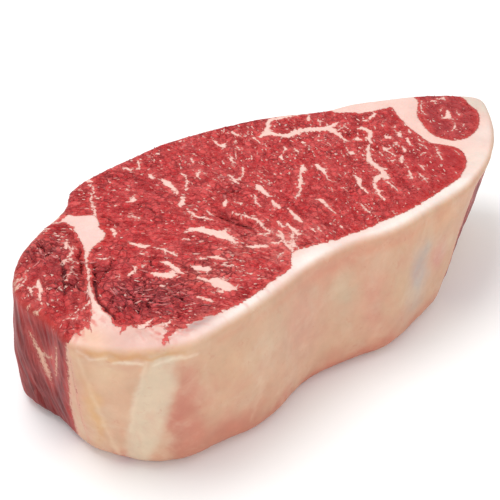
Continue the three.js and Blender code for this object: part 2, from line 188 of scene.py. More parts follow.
# Seams of fat on the upper cut face: x, y and width at each of their points.
eye_seams = [
    # middle
    [(-30.5, 30, 1.5), (-31, 27, 3), (-32, 22, 1.6), (-33, 18.5, 0.8)],
    [(-32, 37, 1), (-32.3, 33.5, 1.6)],
    [(-37.4, 11.6, 1.5), (-35.6, 12.7, 2.5), (-33.4, 15, 1.5)],
    [(-29, 47, 0.9), (-32.6, 41.8, 0.9)], [(-37, 46.5, 0.8), (-35, 43.8, 1.4)],
    [(-20.5, 46.2, 1.5)], [(-8, 48, 1.5)],
    [(-22.6, 29.5, 0.8), (-23, 26, 1.1), (-25.3, 22.6, 1), (-28.3, 19.5, 1), (-29.3, 17.8, 0.8)],
    [(-15.7, 27, 0.5), (-19, 24.5, 1.3), (-20, 21.5, 1)], [(-20.9, 15.3, 1.4)],
    [(-4.7, 15.3, 0.6), (-6.5, 12.4, 1), (-9.8, 10.9, 1.2), (-12, 11.6, 1.6), (-11.7, 8.7, 0.9)],
    [(-12, 11.6, 1.2), (-10.6, 16, 0.8)],
    [(-0.3, 26.3, 0.7), (-2.1, 24.1, 1.2), (-3.2, 21.2, 0.7)],
    [(2.3, 40.3, 0.6), (1.9, 37.4, 1), (2.6, 34.4, 2.2), (1.9, 33, 0.8)],
    [(2.6, 34.4, 1.2), (6, 36, 0.5)], [(12.5, 41, 0.9), (12.3, 38, 1.3), (12.6, 36, 0.7)],
    [(6.5, 31, 0.6), (5.4, 28.5, 0.9)],
    [(13.8, 13.5, 0.8), (12.8, 12.3, 1.8), (12.3, 10.5, 0.7)],
    [(19.2, 16.8, 0.8), (17.8, 15, 1.2), (16, 14.5, 0.5)], [(21.5, 13.8, 0.8), (20.7, 11.5, 1)],
    [(-7.8, 4.2, 0.8), (-8.3, 1.4, 3.2), (-9, -1.6, 2.2), (-9.7, -5.2, 1)],
    [(-10.8, -7.5, 0.8), (-11.8, -10.3, 1.8), (-12.5, -13, 1.4)],
    [(-10.5, -15.3, 0.8), (-11.4, -19.3, 1.4), (-12.3, -22.8, 1.5), (-12.6, -24.8, 1.2)],
    [(-37.4, 7, 0.8), (-37.4, 3.5, 1.1), (-36.6, 1, 1.3), (-34.4, -3.2, 0.8)],
    [(-31.2, 4, 0.8), (-32.2, 1.2, 1.2)], [(-22.8, 3.8, 0.8), (-24, 2.4, 2), (-25.6, 1, 0.8)],
    [(-21.3, 0.5, 0.8), (-20.6, -2, 1.1)], [(-13.2, -1.2, 0.7), (-16, -5, 1), (-16.8, -8, 0.7)],
    [(-36, -23.5, 1), (-33.5, -25.3, 2.2), (-31, -27.5, 1)],
    [(-28.6, -19.3, 0.7), (-25, -21.5, 1.1)], [(-22.2, -24, 1.3), (-23.6, -26.6, 1.1)],
    [(-29, -27, 0.8), (-27, -28, 1.3), (-25, -27.6, 0.8)],
    [(-33.5, -34, 0.7), (-30, -33.6, 0.9)],
    [(-17, -22, 1), (-17.6, -25.5, 1.7), (-18.6, -29.3, 1.2)],
    [(-18.4, -19.4, 1), (-19.4, -22.4, 1.3)], [(-10.6, -30.3, 0.5), (-11.7, -32.5, 1.1)],
    [(15.5, 2.8, 1), (12.6, 0.2, 2.6), (10.4, -0.5, 0.8), (7.1, -3.8, 1.6), (2.3, -9, 1),
     (-1.8, -11.5, 1.4), (-3.6, -12.6, 0.6)],
    [(19.2, -0.5, 1.8), (18.1, -4.6, 2.4), (16.3, -7.5, 1), (14.8, -10.4, 0.7),
     (14.4, -13.4, 0.5)],
    [(1.5, -18, 0.8), (2.6, -19.5, 2), (2, -22.5, 1), (0.6, -26, 0.8), (-0.1, -29, 0.6)],
    [(-3, 6.5, 0.9)], [(-1, 7, 0.7)], [(11.5, -29.5, 0.5), (10.3, -33, 0.9), (9.4, -37, 0.6)],
    [(-26, -3.8, 0.6), (-24.2, -9, 1), (-23.1, -12.6, 1.2), (-23.8, -17.8, 0.9),
     (-24.2, -23, 0.6)], [(-27, -35, 1.4), (-20, -27, 0.5)], [(-27, -35, 1.4), (-23, -24, 0.5)],
    [(-25, -34, 1.2), (-17, -24, 0.4)],
    # towards the tail
    [(18.1, 30, 1.6), (22.5, 30.7, 3), (24.7, 33, 2.2), (28.4, 36.3, 2), (30.2, 37.4, 2.5),
     (37, 36, 2), (45, 33, 1.2)],
    [(22.5, 30.5, 3.2), (24, 26.7, 2.4), (26.9, 23, 3.2), (32.4, 23.4, 4), (36.5, 22, 3.4),
     (40.5, 19, 3.5), (43, 17.5, 3.5), (43.5, 13.8, 2.5), (42.4, 8, 1.8), (41.6, 5, 1.2)],
    [(43, 17.5, 2.6), (47.1, 17.9, 2.2), (49.7, 17.5, 1)], [(45.3, 30.4, 1.2), (42.4, 27.4, 1)],
    [(47, 26, 0.5), (43, 21, 0.6)], [(51.2, 22.6, 0.6)],
    [(61, 11.2, 1), (64, 11.8, 1.8), (66.2, 12.8, 1.5), (66.8, 14, 0.6)], [(58.6, 11, 2)],
    [(45.5, 13.8, 1), (49.3, 13.4, 0.6)],
    [(51, 8.3, 1), (53, 7.5, 3), (53.8, 4.6, 2.4), (52.5, 3, 1.8), (49.8, 0.6, 1.6),
     (47.8, -1.2, 1.4)],
    [(46, -2.6, 1), (43.5, -4.6, 1.6), (41, -7, 1.8), (38.5, -9.4, 2), (36.5, -11.2, 2.4),
     (35.7, -14.9, 2.2), (34.3, -18.5, 2), (33.5, -21.5, 1.8), (31.3, -24.4, 2.8)],
    [(42, -17.6, 0.7), (43.4, -18.4, 0.9)], [(55.2, -8.8, 0.6), (53.4, -10, 1)],
    [(60.2, -15.6, 0.5), (60.2, -19.8, 0.7)], [(54.4, -21.8, 0.8), (56.6, -22.4, 0.9)],
    [(43.6, -24.4, 0.5), (41, -27.6, 0.9), (38.6, -31, 0.8)],
    [(66.6, -28.4, 0.5), (65.6, -31.6, 0.7)], [(62, -1.6, 0.4), (60.6, -3.6, 0.6)],
    [(31.3, -22.5, 2.2), (28.8, -22.2, 2.8), (25.4, -24, 1.2), (23.2, -26.6, 1.3),
     (21, -30.3, 1.2), (19.6, -34, 1.4)], [(29.5, -26.6, 0.8), (28.4, -31, 1), (27.6, -34, 0.7)],
    [(23.6, -15.6, 0.8), (22.5, -19.3, 2), (19.9, -22.2, 1.2), (18.8, -26.6, 1)],
    [(34.5, -3.8, 0.8), (36, -3, 2.3), (37, -2, 0.6)], [(26.9, 15.3, 1.6)], [(32.8, 12, 1.5)],
    [(34.3, 5, 0.7)],
    [(49.2, -6.8, 0.8), (48.5, -8.6, 2.2), (47.2, -10.4, 1.1), (47, -13, 1), (46.2, -15.5, 1)],
    [(60.2, -9.6, 1), (58.4, -12, 1.4), (56.8, -14, 1)],
    [(62.5, -4.2, 0.8), (60.2, -5.8, 2.1), (59.5, -7.3, 1)],
    [(54.8, -2.4, 0.8), (54.5, -4.2, 2), (56.2, -5.2, 1)],
    [(48.2, -17.2, 0.8), (46.2, -19, 1.5), (44, -21, 0.8)],
    [(53.6, -13, 0.8), (52.2, -15, 1.4), (51, -17, 0.6)],
    [(63, -21.8, 0.5), (60, -25.4, 0.9), (57.6, -29.4, 1.1)],
    [(48.4, -25.8, 0.5), (47.4, -28.6, 1), (46.6, -30, 0.6)],
    [(43.5, -29.2, 0.5), (42.4, -32, 0.9), (41.2, -36, 0.6)],
    [(44.4, 5, 0.8), (45.8, 3.4, 1.8), (47, 2.2, 1)], [(66.6, -4.8, 0.6), (65.2, -7, 1.2)],
    [(65, 0.9, 0.5), (63.8, -0.4, 1)], [(62, 5.3, 0.5), (60.4, 3, 0.8)],
    # towards the end muscle
    [(-53, 48, 1.5), (-51.5, 46.5, 2)],
    [(-52.9, 44.7, 0.7), (-53.6, 41.4, 1), (-56.9, 38.1, 0.9), (-59.9, 33.7, 0.8),
     (-61.7, 29.3, 0.9), (-63.2, 26.3, 1.2)],
    [(-49.5, 25.5, 1), (-47.5, 25.2, 2.4), (-46, 26.5, 1)], [(-54.3, 26.7, 1.1)],
    [(-55, 18, 0.5), (-54, 16.5, 1), (-52.5, 14.5, 0.6)], [(-40.7, 12.7, 0.7)],
    [(-64, 15.8, 1), (-64.6, 13, 1.8), (-65.5, 11, 0.6)],
    [(-64, 5.5, 0.8), (-63.4, 2.5, 1.8), (-62.3, 0.2, 2.2), (-60, -1.5, 1)],
    [(-59.8, -3.2, 0.7), (-58.4, -6, 1.1), (-58, -9.5, 1), (-57.5, -11.5, 1.2)],
    [(-46.8, -3.2, 1), (-44.5, -2.8, 2.2), (-41.8, -5, 3), (-40, -9, 3.4), (-38.3, -12.5, 4.4),
     (-37.8, -15.5, 2.8), (-38, -18.8, 0.7)], [(-38, -12.5, 2.5), (-35.6, -10.8, 0.8)],
    [(-53.6, -17.4, 0.8), (-51.4, -19.6, 1.2)],
    [(-50, -18.8, 0.8), (-48, -20.8, 1.6), (-46.3, -23.6, 0.6)],
    [(-57.5, -19.2, 0.8), (-56.4, -21.5, 2.6), (-55, -24, 2.8), (-54.2, -25.2, 0.8)],
    [(-59.8, -25.5, 1), (-58.6, -29, 1.6), (-56.9, -31, 4.4), (-56.6, -34.5, 4.4),
     (-56.2, -37, 2.8), (-54.8, -39.3, 0.8)], [(-61.8, -34.6, 0.6), (-58.5, -36.6, 1)],
    [(-69.4, -13.2, 1), (-67.8, -15.8, 2), (-65.5, -18.8, 2.6), (-63.2, -18.3, 1.2)],
    [(-63.2, -11, 0.7), (-62.2, -13, 1.8), (-62.3, -17, 1.6), (-61.6, -20.6, 0.7)],
    [(-78, 5, 0.6), (-76, 3.5, 1), (-74.6, 2.6, 0.7)], [(-73.4, 1.2, 0.8)],
    [(-80, -6.8, 0.5), (-77.5, -7.8, 0.8)],
    [(-75, -9.3, 1), (-72.8, -8.4, 1.4), (-70.8, -7.4, 0.7)],
    [(-69.3, -7.6, 0.6), (-68, -8.6, 0.8)], [(-65.4, -2.5, 0.8), (-64.8, -4, 1)],
    [(-49.8, -5.2, 0.7), (-48.8, -6.8, 0.9)], [(-45, -17.5, 0.7), (-43.7, -18.6, 0.9)],
    [(-46.6, -34.6, 0.7), (-45.8, -35.6, 0.9)], [(-49.2, -27.2, 0.7), (-48, -28.3, 0.9)],
    [(-66.2, -33.6, 0.7), (-64.8, -37, 1.3)], [(-71, -20, 0.9), (-69.5, -22, 1.1)],
    [(-91, -33.8, 3), (-86.5, -33, 1.8), (-84, -32.2, 0.7)],
    [(-89, -38.6, 3.2), (-84.5, -37.6, 2.2), (-79, -36.2, 0.6)],
]

# Clefts where the torn grain opens, in the same terms; they are dented, and painted dark as painted
# shade in them.
eye_clefts = [
    [(-88, -8.5, 0.5), (-84, -5.5, 0.4), (-78, -2.5, 0.3), (-74, 1, 0.3)],
    [(-91.2, -24, 0.7), (-91, -20, 1), (-90.4, -14, 1.1), (-88.1, -9, 1), (-83.7, -2.8, 0.8),
     (-80.3, 2.2, 0.4)], [(-79.7, -26.5, 0.6), (-78.6, -24.2, 1), (-75.5, -23.2, 0.5)],
    [(-77.2, -19.8, 0.6), (-75, -17.5, 0.7), (-73, -15, 0.6), (-71, -14.5, 0.3)],
    [(-84, -27, 0.4), (-82, -23, 0.7), (-81.5, -19.5, 0.7), (-82, -15.5, 0.3)],
    [(-89, -22, 0.4), (-86.5, -21.8, 0.5), (-84, -20.8, 0.3)],
    [(-87.5, -17.5, 0.3), (-85, -15, 0.4)], [(-79, -31, 0.4), (-78.5, -34.5, 0.6)],
    [(-77, -37, 0.5), (-74.5, -35, 0.6), (-72, -34, 0.3)],
    [(-70.2, -22.2, 0.4), (-68, -22.6, 0.5)],
    [(-72, -27, 0.4), (-70.4, -30, 0.7), (-70, -32.4, 0.4)],
    [(-66.6, -10.2, 0.4), (-65, -8, 0.5), (-62, -6.5, 0.3)],
    [(-60.5, -18, 0.3), (-57.5, -19, 0.4)],
    [(-53.6, -20.6, 0.6), (-52, -20.9, 0.6), (-50.6, -20, 0.3)],
    [(-55.2, -25.8, 0.5), (-54, -28, 0.5)], [(-76.5, -11.5, 0.4), (-76, -14.5, 0.5)],
    [(-80, -12, 0.3), (-79.4, -16, 0.5), (-80, -19, 0.3)],
    [(-68.8, -26, 0.4), (-67.8, -28.6, 0.4)], [(-86, -24.5, 0.3), (-87.4, -27.5, 0.4)],
    [(-74, -31.5, 0.3), (-73, -29.5, 0.4)],
    [(-34, -17, 0.4), (-30, -18.6, 0.5), (-27.4, -18, 0.3)],
    [(-31, -1, 0.4), (-28.6, -5.5, 0.7), (-27.2, -11, 0.8), (-26.6, -17, 0.4)],
    [(-62, 24, 0.3), (-60.5, 19, 0.35), (-61, 14, 0.2)],
    [(-48, 22, 0.2), (-46.5, 16.5, 0.35), (-47.5, 11, 0.2)],
    [(-20, 8, 0.3), (-17.5, 5.5, 0.4), (-15.5, 6.5, 0.3)],
]

# Colours as the eye sees them, from 0 to 255.
LEAN = (185, 29, 34)
CALM_LEAN = (150, 30, 32)  # where the grain is close and even
VIVID_LEAN = (172, 16, 20)
RIM_LEAN = (186, 26, 22)  # along a muscle's edge
LIGHT_LEAN, DEEP_LEAN = (216, 88, 86), (122, 2, 6)  # the two ends of the grain's tones
THREAD = (216, 124, 116)  # fat and sinew as fine as thread
SIDE_LEAN, SIDE_THREAD = (118, 9, 5), (184, 78, 66)
FAT, SIDE_FAT = (232, 194, 183), (211, 169, 140)
BLOODY_FAT, CLEAN_FAT = (208, 108, 98), (246, 232, 224)

# Patches of another colour: x, y, half lengths along x and y, colour and share.
eye_tints = [
    (-80, -19, 12, 13, (172, 56, 66), 0.75),  # dusky torn grain
    (-72, -30, 9, 8, (176, 40, 50), 0.5),
    (-82, 2, 9, 7, (164, 44, 54), 0.6),
    (-40, 32, 22, 14, (176, 34, 42), 0.5),
    # The fold's three dark patches are painted shade in the fold's valley.
    (-31, -2, 3, 3, (136, 6, 14), 0.85),  # the fold
    (-28, -7, 2.6, 4, (128, 2, 10), 0.9),
    (-27, -14, 2.2, 5, (136, 4, 12), 0.85),
    (-33, -16, 4, 2.5, (160, 16, 24), 0.6),
    (-39, -24, 9, 6, (204, 74, 66), 0.6),
    (-60, -26, 4, 6, (204, 62, 50), 0.7),
    (-24, -29, 5, 4, (212, 110, 100), 0.6),
    (-31, -35, 5, 3, (212, 104, 94), 0.6),
    # painted shade: greyish lean along the eye's front edge, where it overhangs the fat
    (-72, -41, 8, 2, (186, 142, 138), 0.85),
    (-46, -40, 12, 2.5, (160, 40, 44), 0.6),
    (60, -26, 12, 9, (178, 46, 54), 0.7),
    (30, -38, 26, 3, (184, 56, 56), 0.5),
]

# The bare lean on the side, by station and height: the end muscle's cut side, then the tail's
# end, then the back.
side_lean_tints = [
    (-42, 46, 10, 5, (166, 88, 90), 0.6),
    (-26, 47, 8, 4, (160, 54, 56), 0.5),
    (-26, 22, 7, 12, (116, 32, 36), 0.6),
    (-20, 31, 3, 5, (156, 74, 68), 0.5),
    (-18, 44, 3, 3, (104, 20, 28), 0.7),
    (-7, 44, 2.5, 4, (122, 34, 38), 0.6),
    (-13.5, 37, 1.6, 6, (196, 120, 112), 0.6),
    (-6, 28, 2, 10, (184, 104, 98), 0.6),
    (-4, 14, 2.5, 10, (198, 130, 112), 0.7),
    (-9, 36, 2, 8, (92, 24, 34), 0.8),
    (-11, 24, 2.2, 8, (96, 26, 36), 0.8),
    (-13, 12, 2, 6, (106, 30, 38), 0.7),
    (-38, 24, 10, 22, (140, 40, 38), 0.6),
    (-30, 36, 3, 10, (92, 16, 20), 0.5),
    (-22, 10, 3, 8, (92, 20, 22), 0.5),
    (195, 30, 30, 34, (126, 42, 38), 1),
    (-110, 26, 50, 50, (140, 38, 38), 0.9),
    (320, 26, 75, 50, (140, 38, 38), 0.9),
]

# Where the grain is torn into crags, and where it is close and even.
craggy_places = [
    (-72, -25, 10, 9, 1), (-79, -17, 8, 9, 0.7), (-87, 20, 8, 6, 0.6), (-88, -2, 6, 12, 0.5),
    (-56, -22, 8, 8, 0.4), (-18, 7, 6, 4, 0.5),
]
calm_places = [
    (62, -30, 17, 10, 1), (87, -8, 22, 22, 0.85), (30, -41, 26, 4, 0.7), (-64, 18, 8, 8, 0.4),
]

# Where fat and lean run into each other in threads, and where small flakes of fat lie closest.
frayed_places = [
    (-100, -20, 8, 7, 1), (-84, -40, 14, 5, 1), (-95, 24, 10, 5, 0.8), (-58, -43, 10, 4, 0.5),
    (-60, 46, 9, 5, 0.6),
]
rich_places = [
    (45, 0, 26, 24, 1), (0, 20, 34, 22, 0.75), (-22, -28, 14, 9, 0.9), (-50, -14, 14, 14, 0.6),
    (-60, 28, 14, 10, 0.5), (5, -18, 14, 12, 0.6),
]

# Where pale threads of fat and sinew lie among the fibres.
wispy_places = [
    (-24, -27, 12, 6, 1), (-40, -22, 10, 8, 0.7), (-12, -32, 8, 6, 0.8), (-31, -33, 8, 6, 1),
    (-31, -20, 8, 5, 0.8), (-55, -26, 9, 12, 0.9), (-30, -38, 16, 4, 0.6), (-36, -14, 7, 5, 0.6),
]

# Long shallow dents of the upper face: centre, half length, half width, direction and depth.
dents = [
    (-28, -9, 12, 3.2, -78, 1.7),  # the fold in the eye
    (-80, -20, 15, 9, 60, 1.1),  # torn grain by the seam
    (-87, 0, 18, 2.6, 60, 1.3),  # the open seam
    (-71, 21, 9, 3.5, 80, 0.6),  # the wedge of fat
    (44, 4, 16, 2.4, -75, 0.7),  # a seam of marbling
    (70, -5, 16, 3, 68, 0.5),  # beside the small muscle
]

draw = np.random.default_rng(11)
shuffle = np.tile(draw.permutation(256), 2)
slopes = draw.normal(size=(256, 3))
slopes /= np.linalg.norm(slopes, axis=1)[:, None]


def noise(points, size, seed=0):
    """Smooth unevenness between about -1 and 1, with lumps of a given size."""
    at = points / size + 31.7 * seed
    cell = np.floor(at).astype(int)
    part = at - cell
    ease = part ** 3 * (part * (part * 6 - 15) + 10)
    total = np.zeros(len(at))
    for corner in np.ndindex(2, 2, 2):
        near = (cell + corner) & 255
        slope = slopes[shuffle[shuffle[shuffle[near[:, 0]] + near[:, 1]] + near[:, 2]]]
        weight = np.prod(np.where(corner, ease, 1 - ease), axis=1)
        total += weight * np.sum(slope * (part - corner), axis=1)
    return 1.7 * total


def waves(points, *sizes):
    """Noises added up, each given by its height, the size of its lumps and its seed."""
    return sum(height * noise(points, size, seed) for height, size, seed in sizes)


def ramp(values, low, high):
    """0 below low, 1 above high and smooth between."""
    part = np.clip((values - low) / (high - low), 0, 1)
    return part * part * (3 - 2 * part)


def on_plan(points):
    """Plan points with a third number of nought: a height for the noise, or a line's width."""
    return np.column_stack([points, np.zeros(len(points))])


def hollow(plan):
    """How far the upper cut face lies under the full thickness, and how torn it is there."""
    x, y = plan.T
    along_x = np.sin(2 * math.pi * x / 37 + 0.8)
    along_y = np.cos(2 * math.pi * y / 29 + x / 40)
    depth = 0.05 + 0.125 * (2 + along_x + along_y)
    torn = np.zeros(len(x))
    for centre_x, centre_y, half_length, half_width, turn, deep in dents:
        turn = math.radians(turn)
        along = ((x - centre_x) * math.cos(turn) + (y - centre_y) * math.sin(turn)) / half_length
        across = ((y - centre_y) * math.cos(turn) - (x - centre_x) * math.sin(turn)) / half_width
        near = np.exp(-along * along - across * across)
        depth += deep * near
        torn = np.maximum(torn, near)
    return depth, torn


def within(points, starts, ends):
    """Which points lie inside the loops whose edges run from starts to ends."""
    inside = np.zeros(len(points), bool)
    order = np.argsort(points[:, 1])
    x, y = points[order].T
    for (x0, y0), (x1, y1) in zip(starts, ends):
        low, high = np.searchsorted(y, (min(y0, y1), max(y0, y1)))
        if high > low:
            cross = x0 + (y[low:high] - y0) * (x1 - x0) / (y1 - y0)
            inside[order[low:high]] ^= cross > x[low:high]
    return inside


def in_any(points, loops):
    """Which points lie inside one of some closed loops."""
    inside = np.zeros(len(points), bool)
    for loop in loops:
        inside |= within(points, loop, np.roll(loop, -1, 0))
    return inside


def band(points, lines, far=4.0):
    """How deep points lie in bands drawn along lines of (x, y, width), and at least -far."""
    depth = np.full(len(points), -far)
    order = np.argsort(points[:, 0])
    x, y = points[order].T
    for line in lines:
        line = [line[0], line[0]] if len(line) == 1 else line
        for (x0, y0, wide0), (x1, y1, wide1) in zip(line[:-1], line[1:]):
            margin = far + max(wide0, wide1) / 2
            low, high = np.searchsorted(x, (min(x0, x1) - margin, max(x0, x1) + margin))
            near = (y[low:high] > min(y0, y1) - margin) & (y[low:high] < max(y0, y1) + margin)
            picked = order[low:high][near]
            dx, dy = x[low:high][near] - x0, y[low:high][near] - y0
            long2 = (x1 - x0) ** 2 + (y1 - y0) ** 2
            along = np.clip((dx * (x1 - x0) + dy * (y1 - y0)) / max(long2, 1e-9), 0, 1)
            away = np.hypot(dx - along * (x1 - x0), dy - along * (y1 - y0))
            half = (wide0 + along * (wide1 - wide0)) / 2
            depth[picked] = np.maximum(depth[picked], half - away)
    return depth


def borders(loops):
    """Closed loops as lines without width."""
    return [on_plan(np.vstack([loop, loop[:1]])) for loop in loops]


def locate(points):
    """Where points on the rim lie along the outline."""
    after = np.roll(rim, -1, 0)
    step = after - rim
    along = np.einsum("pij,ij->pi", points[:, None] - rim[None], step)
    along = np.clip(along / np.sum(step * step, axis=1), 0, 1)
    away = np.linalg.norm(points[:, None] - rim[None] - along[..., None] * step[None], axis=2)
    best = np.argmin(away, axis=1)
    next_where = np.append(rim_where[1:], len(outline))
    share = along[np.arange(len(points)), best]
    return rim_where[best] + share * (next_where[best] - rim_where[best])


def drift(plan):
    """How far the grain drifts across the steak on its way from the upper face to the lower."""
    away = np.sum((plan[:, None] - rim[None, ::5]) ** 2, axis=2) + 1
    weight = away ** -1.5
    return weight @ (foot - rim)[::5] / weight.sum(1)[:, None]


def scatter(low, high, cell, draw):
    """Points in rows, half a step apart from row to row, each a little off its place."""
    rows = np.arange(low[1], high[1], cell * math.sqrt(3) / 2)
    columns = np.arange(low[0], high[0], cell)
    x = columns[None] + np.where(np.arange(len(rows)) % 2, cell / 2, 0)[:, None]
    points = np.stack([x, np.broadcast_to(rows[:, None], x.shape)], 2).reshape(-1, 2)
    return points + draw.uniform(-0.12, 0.12, points.shape) * cell


def triangulate(points, edges):
    """Triangles over points that keep the given edges, all turned the same way up."""
    vectors = [Vector(p) for p in points.tolist()]
    result = delaunay_2d_cdt(vectors, edges.tolist(), [], 0, 1e-6, False)
    made = np.array([tuple(p) for p in result[0]])
    faces = np.array(result[2])
    a, b, c = (made[faces[:, k]] for k in range(3))
    turned = (b - a)[:, 0] * (c - a)[:, 1] - (b - a)[:, 1] * (c - a)[:, 0] < 0
    faces[turned] = faces[turned][:, ::-1]
    return made, faces


def loop_edges(count, first=0):
    """The edges of a closed loop of numbered points."""
    around = np.arange(count)
    return np.stack([around, (around + 1) % count], 1) + first


def open_edges(faces, count):
    """Edges that only one triangle uses, in the direction in which it uses them."""
    edges = np.concatenate([faces[:, [0, 1]], faces[:, [1, 2]], faces[:, [2, 0]]])
    forth = edges[:, 0] * count + edges[:, 1]
    back = edges[:, 1] * count + edges[:, 0]
    return edges[~np.isin(forth, back)], forth[~np.isin(forth, back)]


def curtain(edges, columns):
    """Walls that hang from edges: each edge joins two columns of equal length."""
    a, b = columns[edges[:, 0]], columns[edges[:, 1]]
    upper = np.stack([b[:, :-1], a[:, :-1], a[:, 1:]], 2)
    lower = np.stack([b[:, :-1], a[:, 1:], b[:, 1:]], 2)
    return np.concatenate([upper.reshape(-1, 3), lower.reshape(-1, 3)])


def stitch(a, b, a_is_fine):
    """The wall between a fine column and one that has only the deep levels."""
    faces = []
    for m, (top, bottom) in enumerate(zip(deep_levels[:-1], deep_levels[1:])):
        for k in range(top, bottom):
            faces.append((b[m], a[k], a[k + 1]) if a_is_fine else (b[k], a[m], b[k + 1]))
        faces.append((b[m], a[bottom], b[m + 1]) if a_is_fine else (b[bottom], a[m], a[m + 1]))
    return faces


def raised(plans, heights):
    """Rows of plan points, with one height for each step along a row, as one list of places."""
    tall = np.broadcast_to(heights[:, None], (*plans.shape[:2], 1))
    return np.concatenate([plans, tall], 2).reshape(-1, 3)


class Piece:
    """One piece of the slice: its points, what each point lies on, and its triangles."""


LEAN_CELL = 0.46  # size of the triangles of the upper cut face
UNDER_CELL = 1.6  # and of the lower one


def carve(edges_of_muscles, lean, cell):
    """One piece of the slice: the inside of one muscle's edge, or what is outside them all."""
    piece = Piece()
    piece.edges, piece.lean = edges_of_muscles, lean
    draw = np.random.default_rng(5)
    loops = [rim, *edges_of_muscles]

    def keeps(points):
        """Which points of the upper face belong to the piece."""
        return in_any(points, [rim]) & (in_any(points, edges_of_muscles) == lean)

    # the upper face
    points = scatter(rim.min(0), rim.max(0), cell, draw)
    points = points[keeps(points)]
    points = points[band(points, borders(loops), 1.0) < -0.5 * cell]
    firsts = np.cumsum([0] + [len(loop) for loop in loops])
    edges = np.concatenate([loop_edges(len(loop), k) for loop, k in zip(loops, firsts)])
    plan, faces = triangulate(np.concatenate([*loops, points]), edges)
    count = len(plan)
    centres = plan[faces].mean(1)
    disc = faces[in_any(centres, [rim])]
    faces = faces[keeps(centres)]
    border, border_keys = open_edges(faces, count)
    _, disc_keys = open_edges(disc, count)
    outer = np.isin(border_keys, disc_keys)

    # columns under the border: fine ones round the side, plain ones inside the steak
    fine = np.unique(border[outer])
    plain = np.setdiff1d(np.unique(border), fine)
    levels = len(level_height)
    fine_first = count
    plain_first = fine_first + len(fine) * (levels - 1)
    under_first = plain_first + len(plain) * (DEEP_STEPS - 1)
    fine_columns = np.full((count, levels), -1)
    fine_columns[fine, 0] = fine
    fine_columns[fine, 1:] = np.arange(fine_first, plain_first).reshape(len(fine), -1)
    plain_columns = np.full((count, DEEP_STEPS), -1)
    plain_columns[plain, 0] = plain
    plain_columns[plain, 1:] = np.arange(plain_first, under_first).reshape(len(plain), -1)

    is_fine = np.isin(border, fine)
    side = is_fine.all(1)
    joins = is_fine.any(1) & ~side
    inner = ~is_fine.any(1)
    walls = [curtain(border[side & ~outer], fine_columns), curtain(border[inner], plain_columns)]
    for a, b in border[joins]:
        a_is_fine = fine_columns[a, 0] >= 0
        column_a = (fine_columns if a_is_fine else plain_columns)[a]
        column_b = (plain_columns if a_is_fine else fine_columns)[b]
        walls.append(np.array(stitch(column_a, column_b, a_is_fine)))
    skin = curtain(border[outer], fine_columns)

    # where every point of the columns lies
    where = locate(plan[fine])
    nudge = 0.02
    rings = np.stack([side_ring(z, inset, where) for z, inset in zip(level_height, level_inset)], 1)
    ahead = side_ring(THICKNESS / 2, 0, where + nudge) - side_ring(THICKNESS / 2, 0, where - nudge)
    ahead /= np.linalg.norm(ahead, axis=1)[:, None]
    outward = np.stack([ahead[:, 1], -ahead[:, 0]], 1)[:, None]
    plain_height = level_height[deep_levels[1:]]
    sink = (1 - plain_height / THICKNESS)[None, :, None]
    plain_plan = plan[plain][:, None] + sink * drift(plan[plain])[:, None]
    place = np.concatenate([
        np.column_stack([plan, np.full(count, THICKNESS)]),
        raised(rings[:, 1:], level_height[1:]),
        raised(plain_plan, plain_height),
    ])

    # the lower face
    ends = np.where(fine_columns[:, 0] >= 0, fine_columns[:, -1], plain_columns[:, -1])
    under_edges = ends[border]
    around, under_numbers = np.unique(under_edges, return_inverse=True)
    around_plan = place[around][:, :2]
    under_edges = under_numbers.reshape(-1, 2)
    starts, stops = around_plan[under_edges[:, 0]], around_plan[under_edges[:, 1]]
    points = scatter(around_plan.min(0), around_plan.max(0), UNDER_CELL, draw)
    points = points[within(points, starts, stops)]
    rows = [[(*p, 0), (*q, 0)] for p, q in zip(starts, stops)]
    points = points[band(points, rows, 1.5) < -0.6]
    under, under_faces = triangulate(np.concatenate([around_plan, points]), under_edges)
    if len(under) != len(around) + len(points):
        raise RuntimeError("the lower face's border crosses itself")
    under_faces = under_faces[within(under[under_faces].mean(1), starts, stops)]
    numbers = np.concatenate([around, np.arange(len(points)) + under_first])
    under_faces = numbers[under_faces][:, ::-1]

    # what every point lies on
    place = np.concatenate([place, on_plan(points)])
    total = len(place)
    piece.place = place
    piece.normal = np.zeros((total, 3))
    piece.normal[:count] = (0, 0, 1)
    piece.normal[fine_first:plain_first] = raised(
        outward * np.cos(level_tilt[1:])[:, None], np.sin(level_tilt[1:]))
    piece.tilt = np.zeros(total)
    piece.tilt[:count] = math.pi / 2
    piece.tilt[fine_first:plain_first] = np.tile(level_tilt[1:], len(fine))
    piece.tilt[under_first:] = -math.pi / 2
    piece.plan = place[:, :2].copy()
    piece.plan[fine_first:plain_first] = np.repeat(plan[fine], levels - 1, axis=0)
    piece.plan[plain_first:under_first] = np.repeat(plan[plain], DEEP_STEPS - 1, axis=0)
    piece.plan[under_first:] -= drift(piece.plan[under_first:])
    piece.station = np.zeros(total)
    piece.station[fine] = station_at(where)
    piece.station[fine_first:plain_first] = np.repeat(station_at(where), levels - 1)
    piece.inside = np.zeros(total, bool)
    piece.inside[plain_first:under_first] = True
    piece.hangs_from = np.arange(total)
    piece.hangs_from[plain_first:under_first] = np.repeat(plain, DEEP_STEPS - 1)
    piece.faces = np.concatenate([faces, skin, *walls, under_faces])
    piece.smooth = np.zeros(len(piece.faces), bool)
    piece.smooth[:len(faces) + len(skin)] = True

    # points that no triangle uses are left out
    used = np.unique(piece.faces)
    renumber = np.zeros(total, int)
    renumber[used] = np.arange(len(used))
    piece.faces = renumber[piece.faces]
    piece.hangs_from = renumber[piece.hangs_from[used]]
    for name in ("place", "normal", "tilt", "plan", "station", "inside"):
        setattr(piece, name, getattr(piece, name)[used])
    piece.height = piece.place[:, 2].copy()
    piece.upper = ramp(piece.tilt, math.radians(15), math.radians(80))
    piece.cut = np.maximum(piece.upper, ramp(-piece.tilt, math.radians(60), math.radians(88)))
    return piece


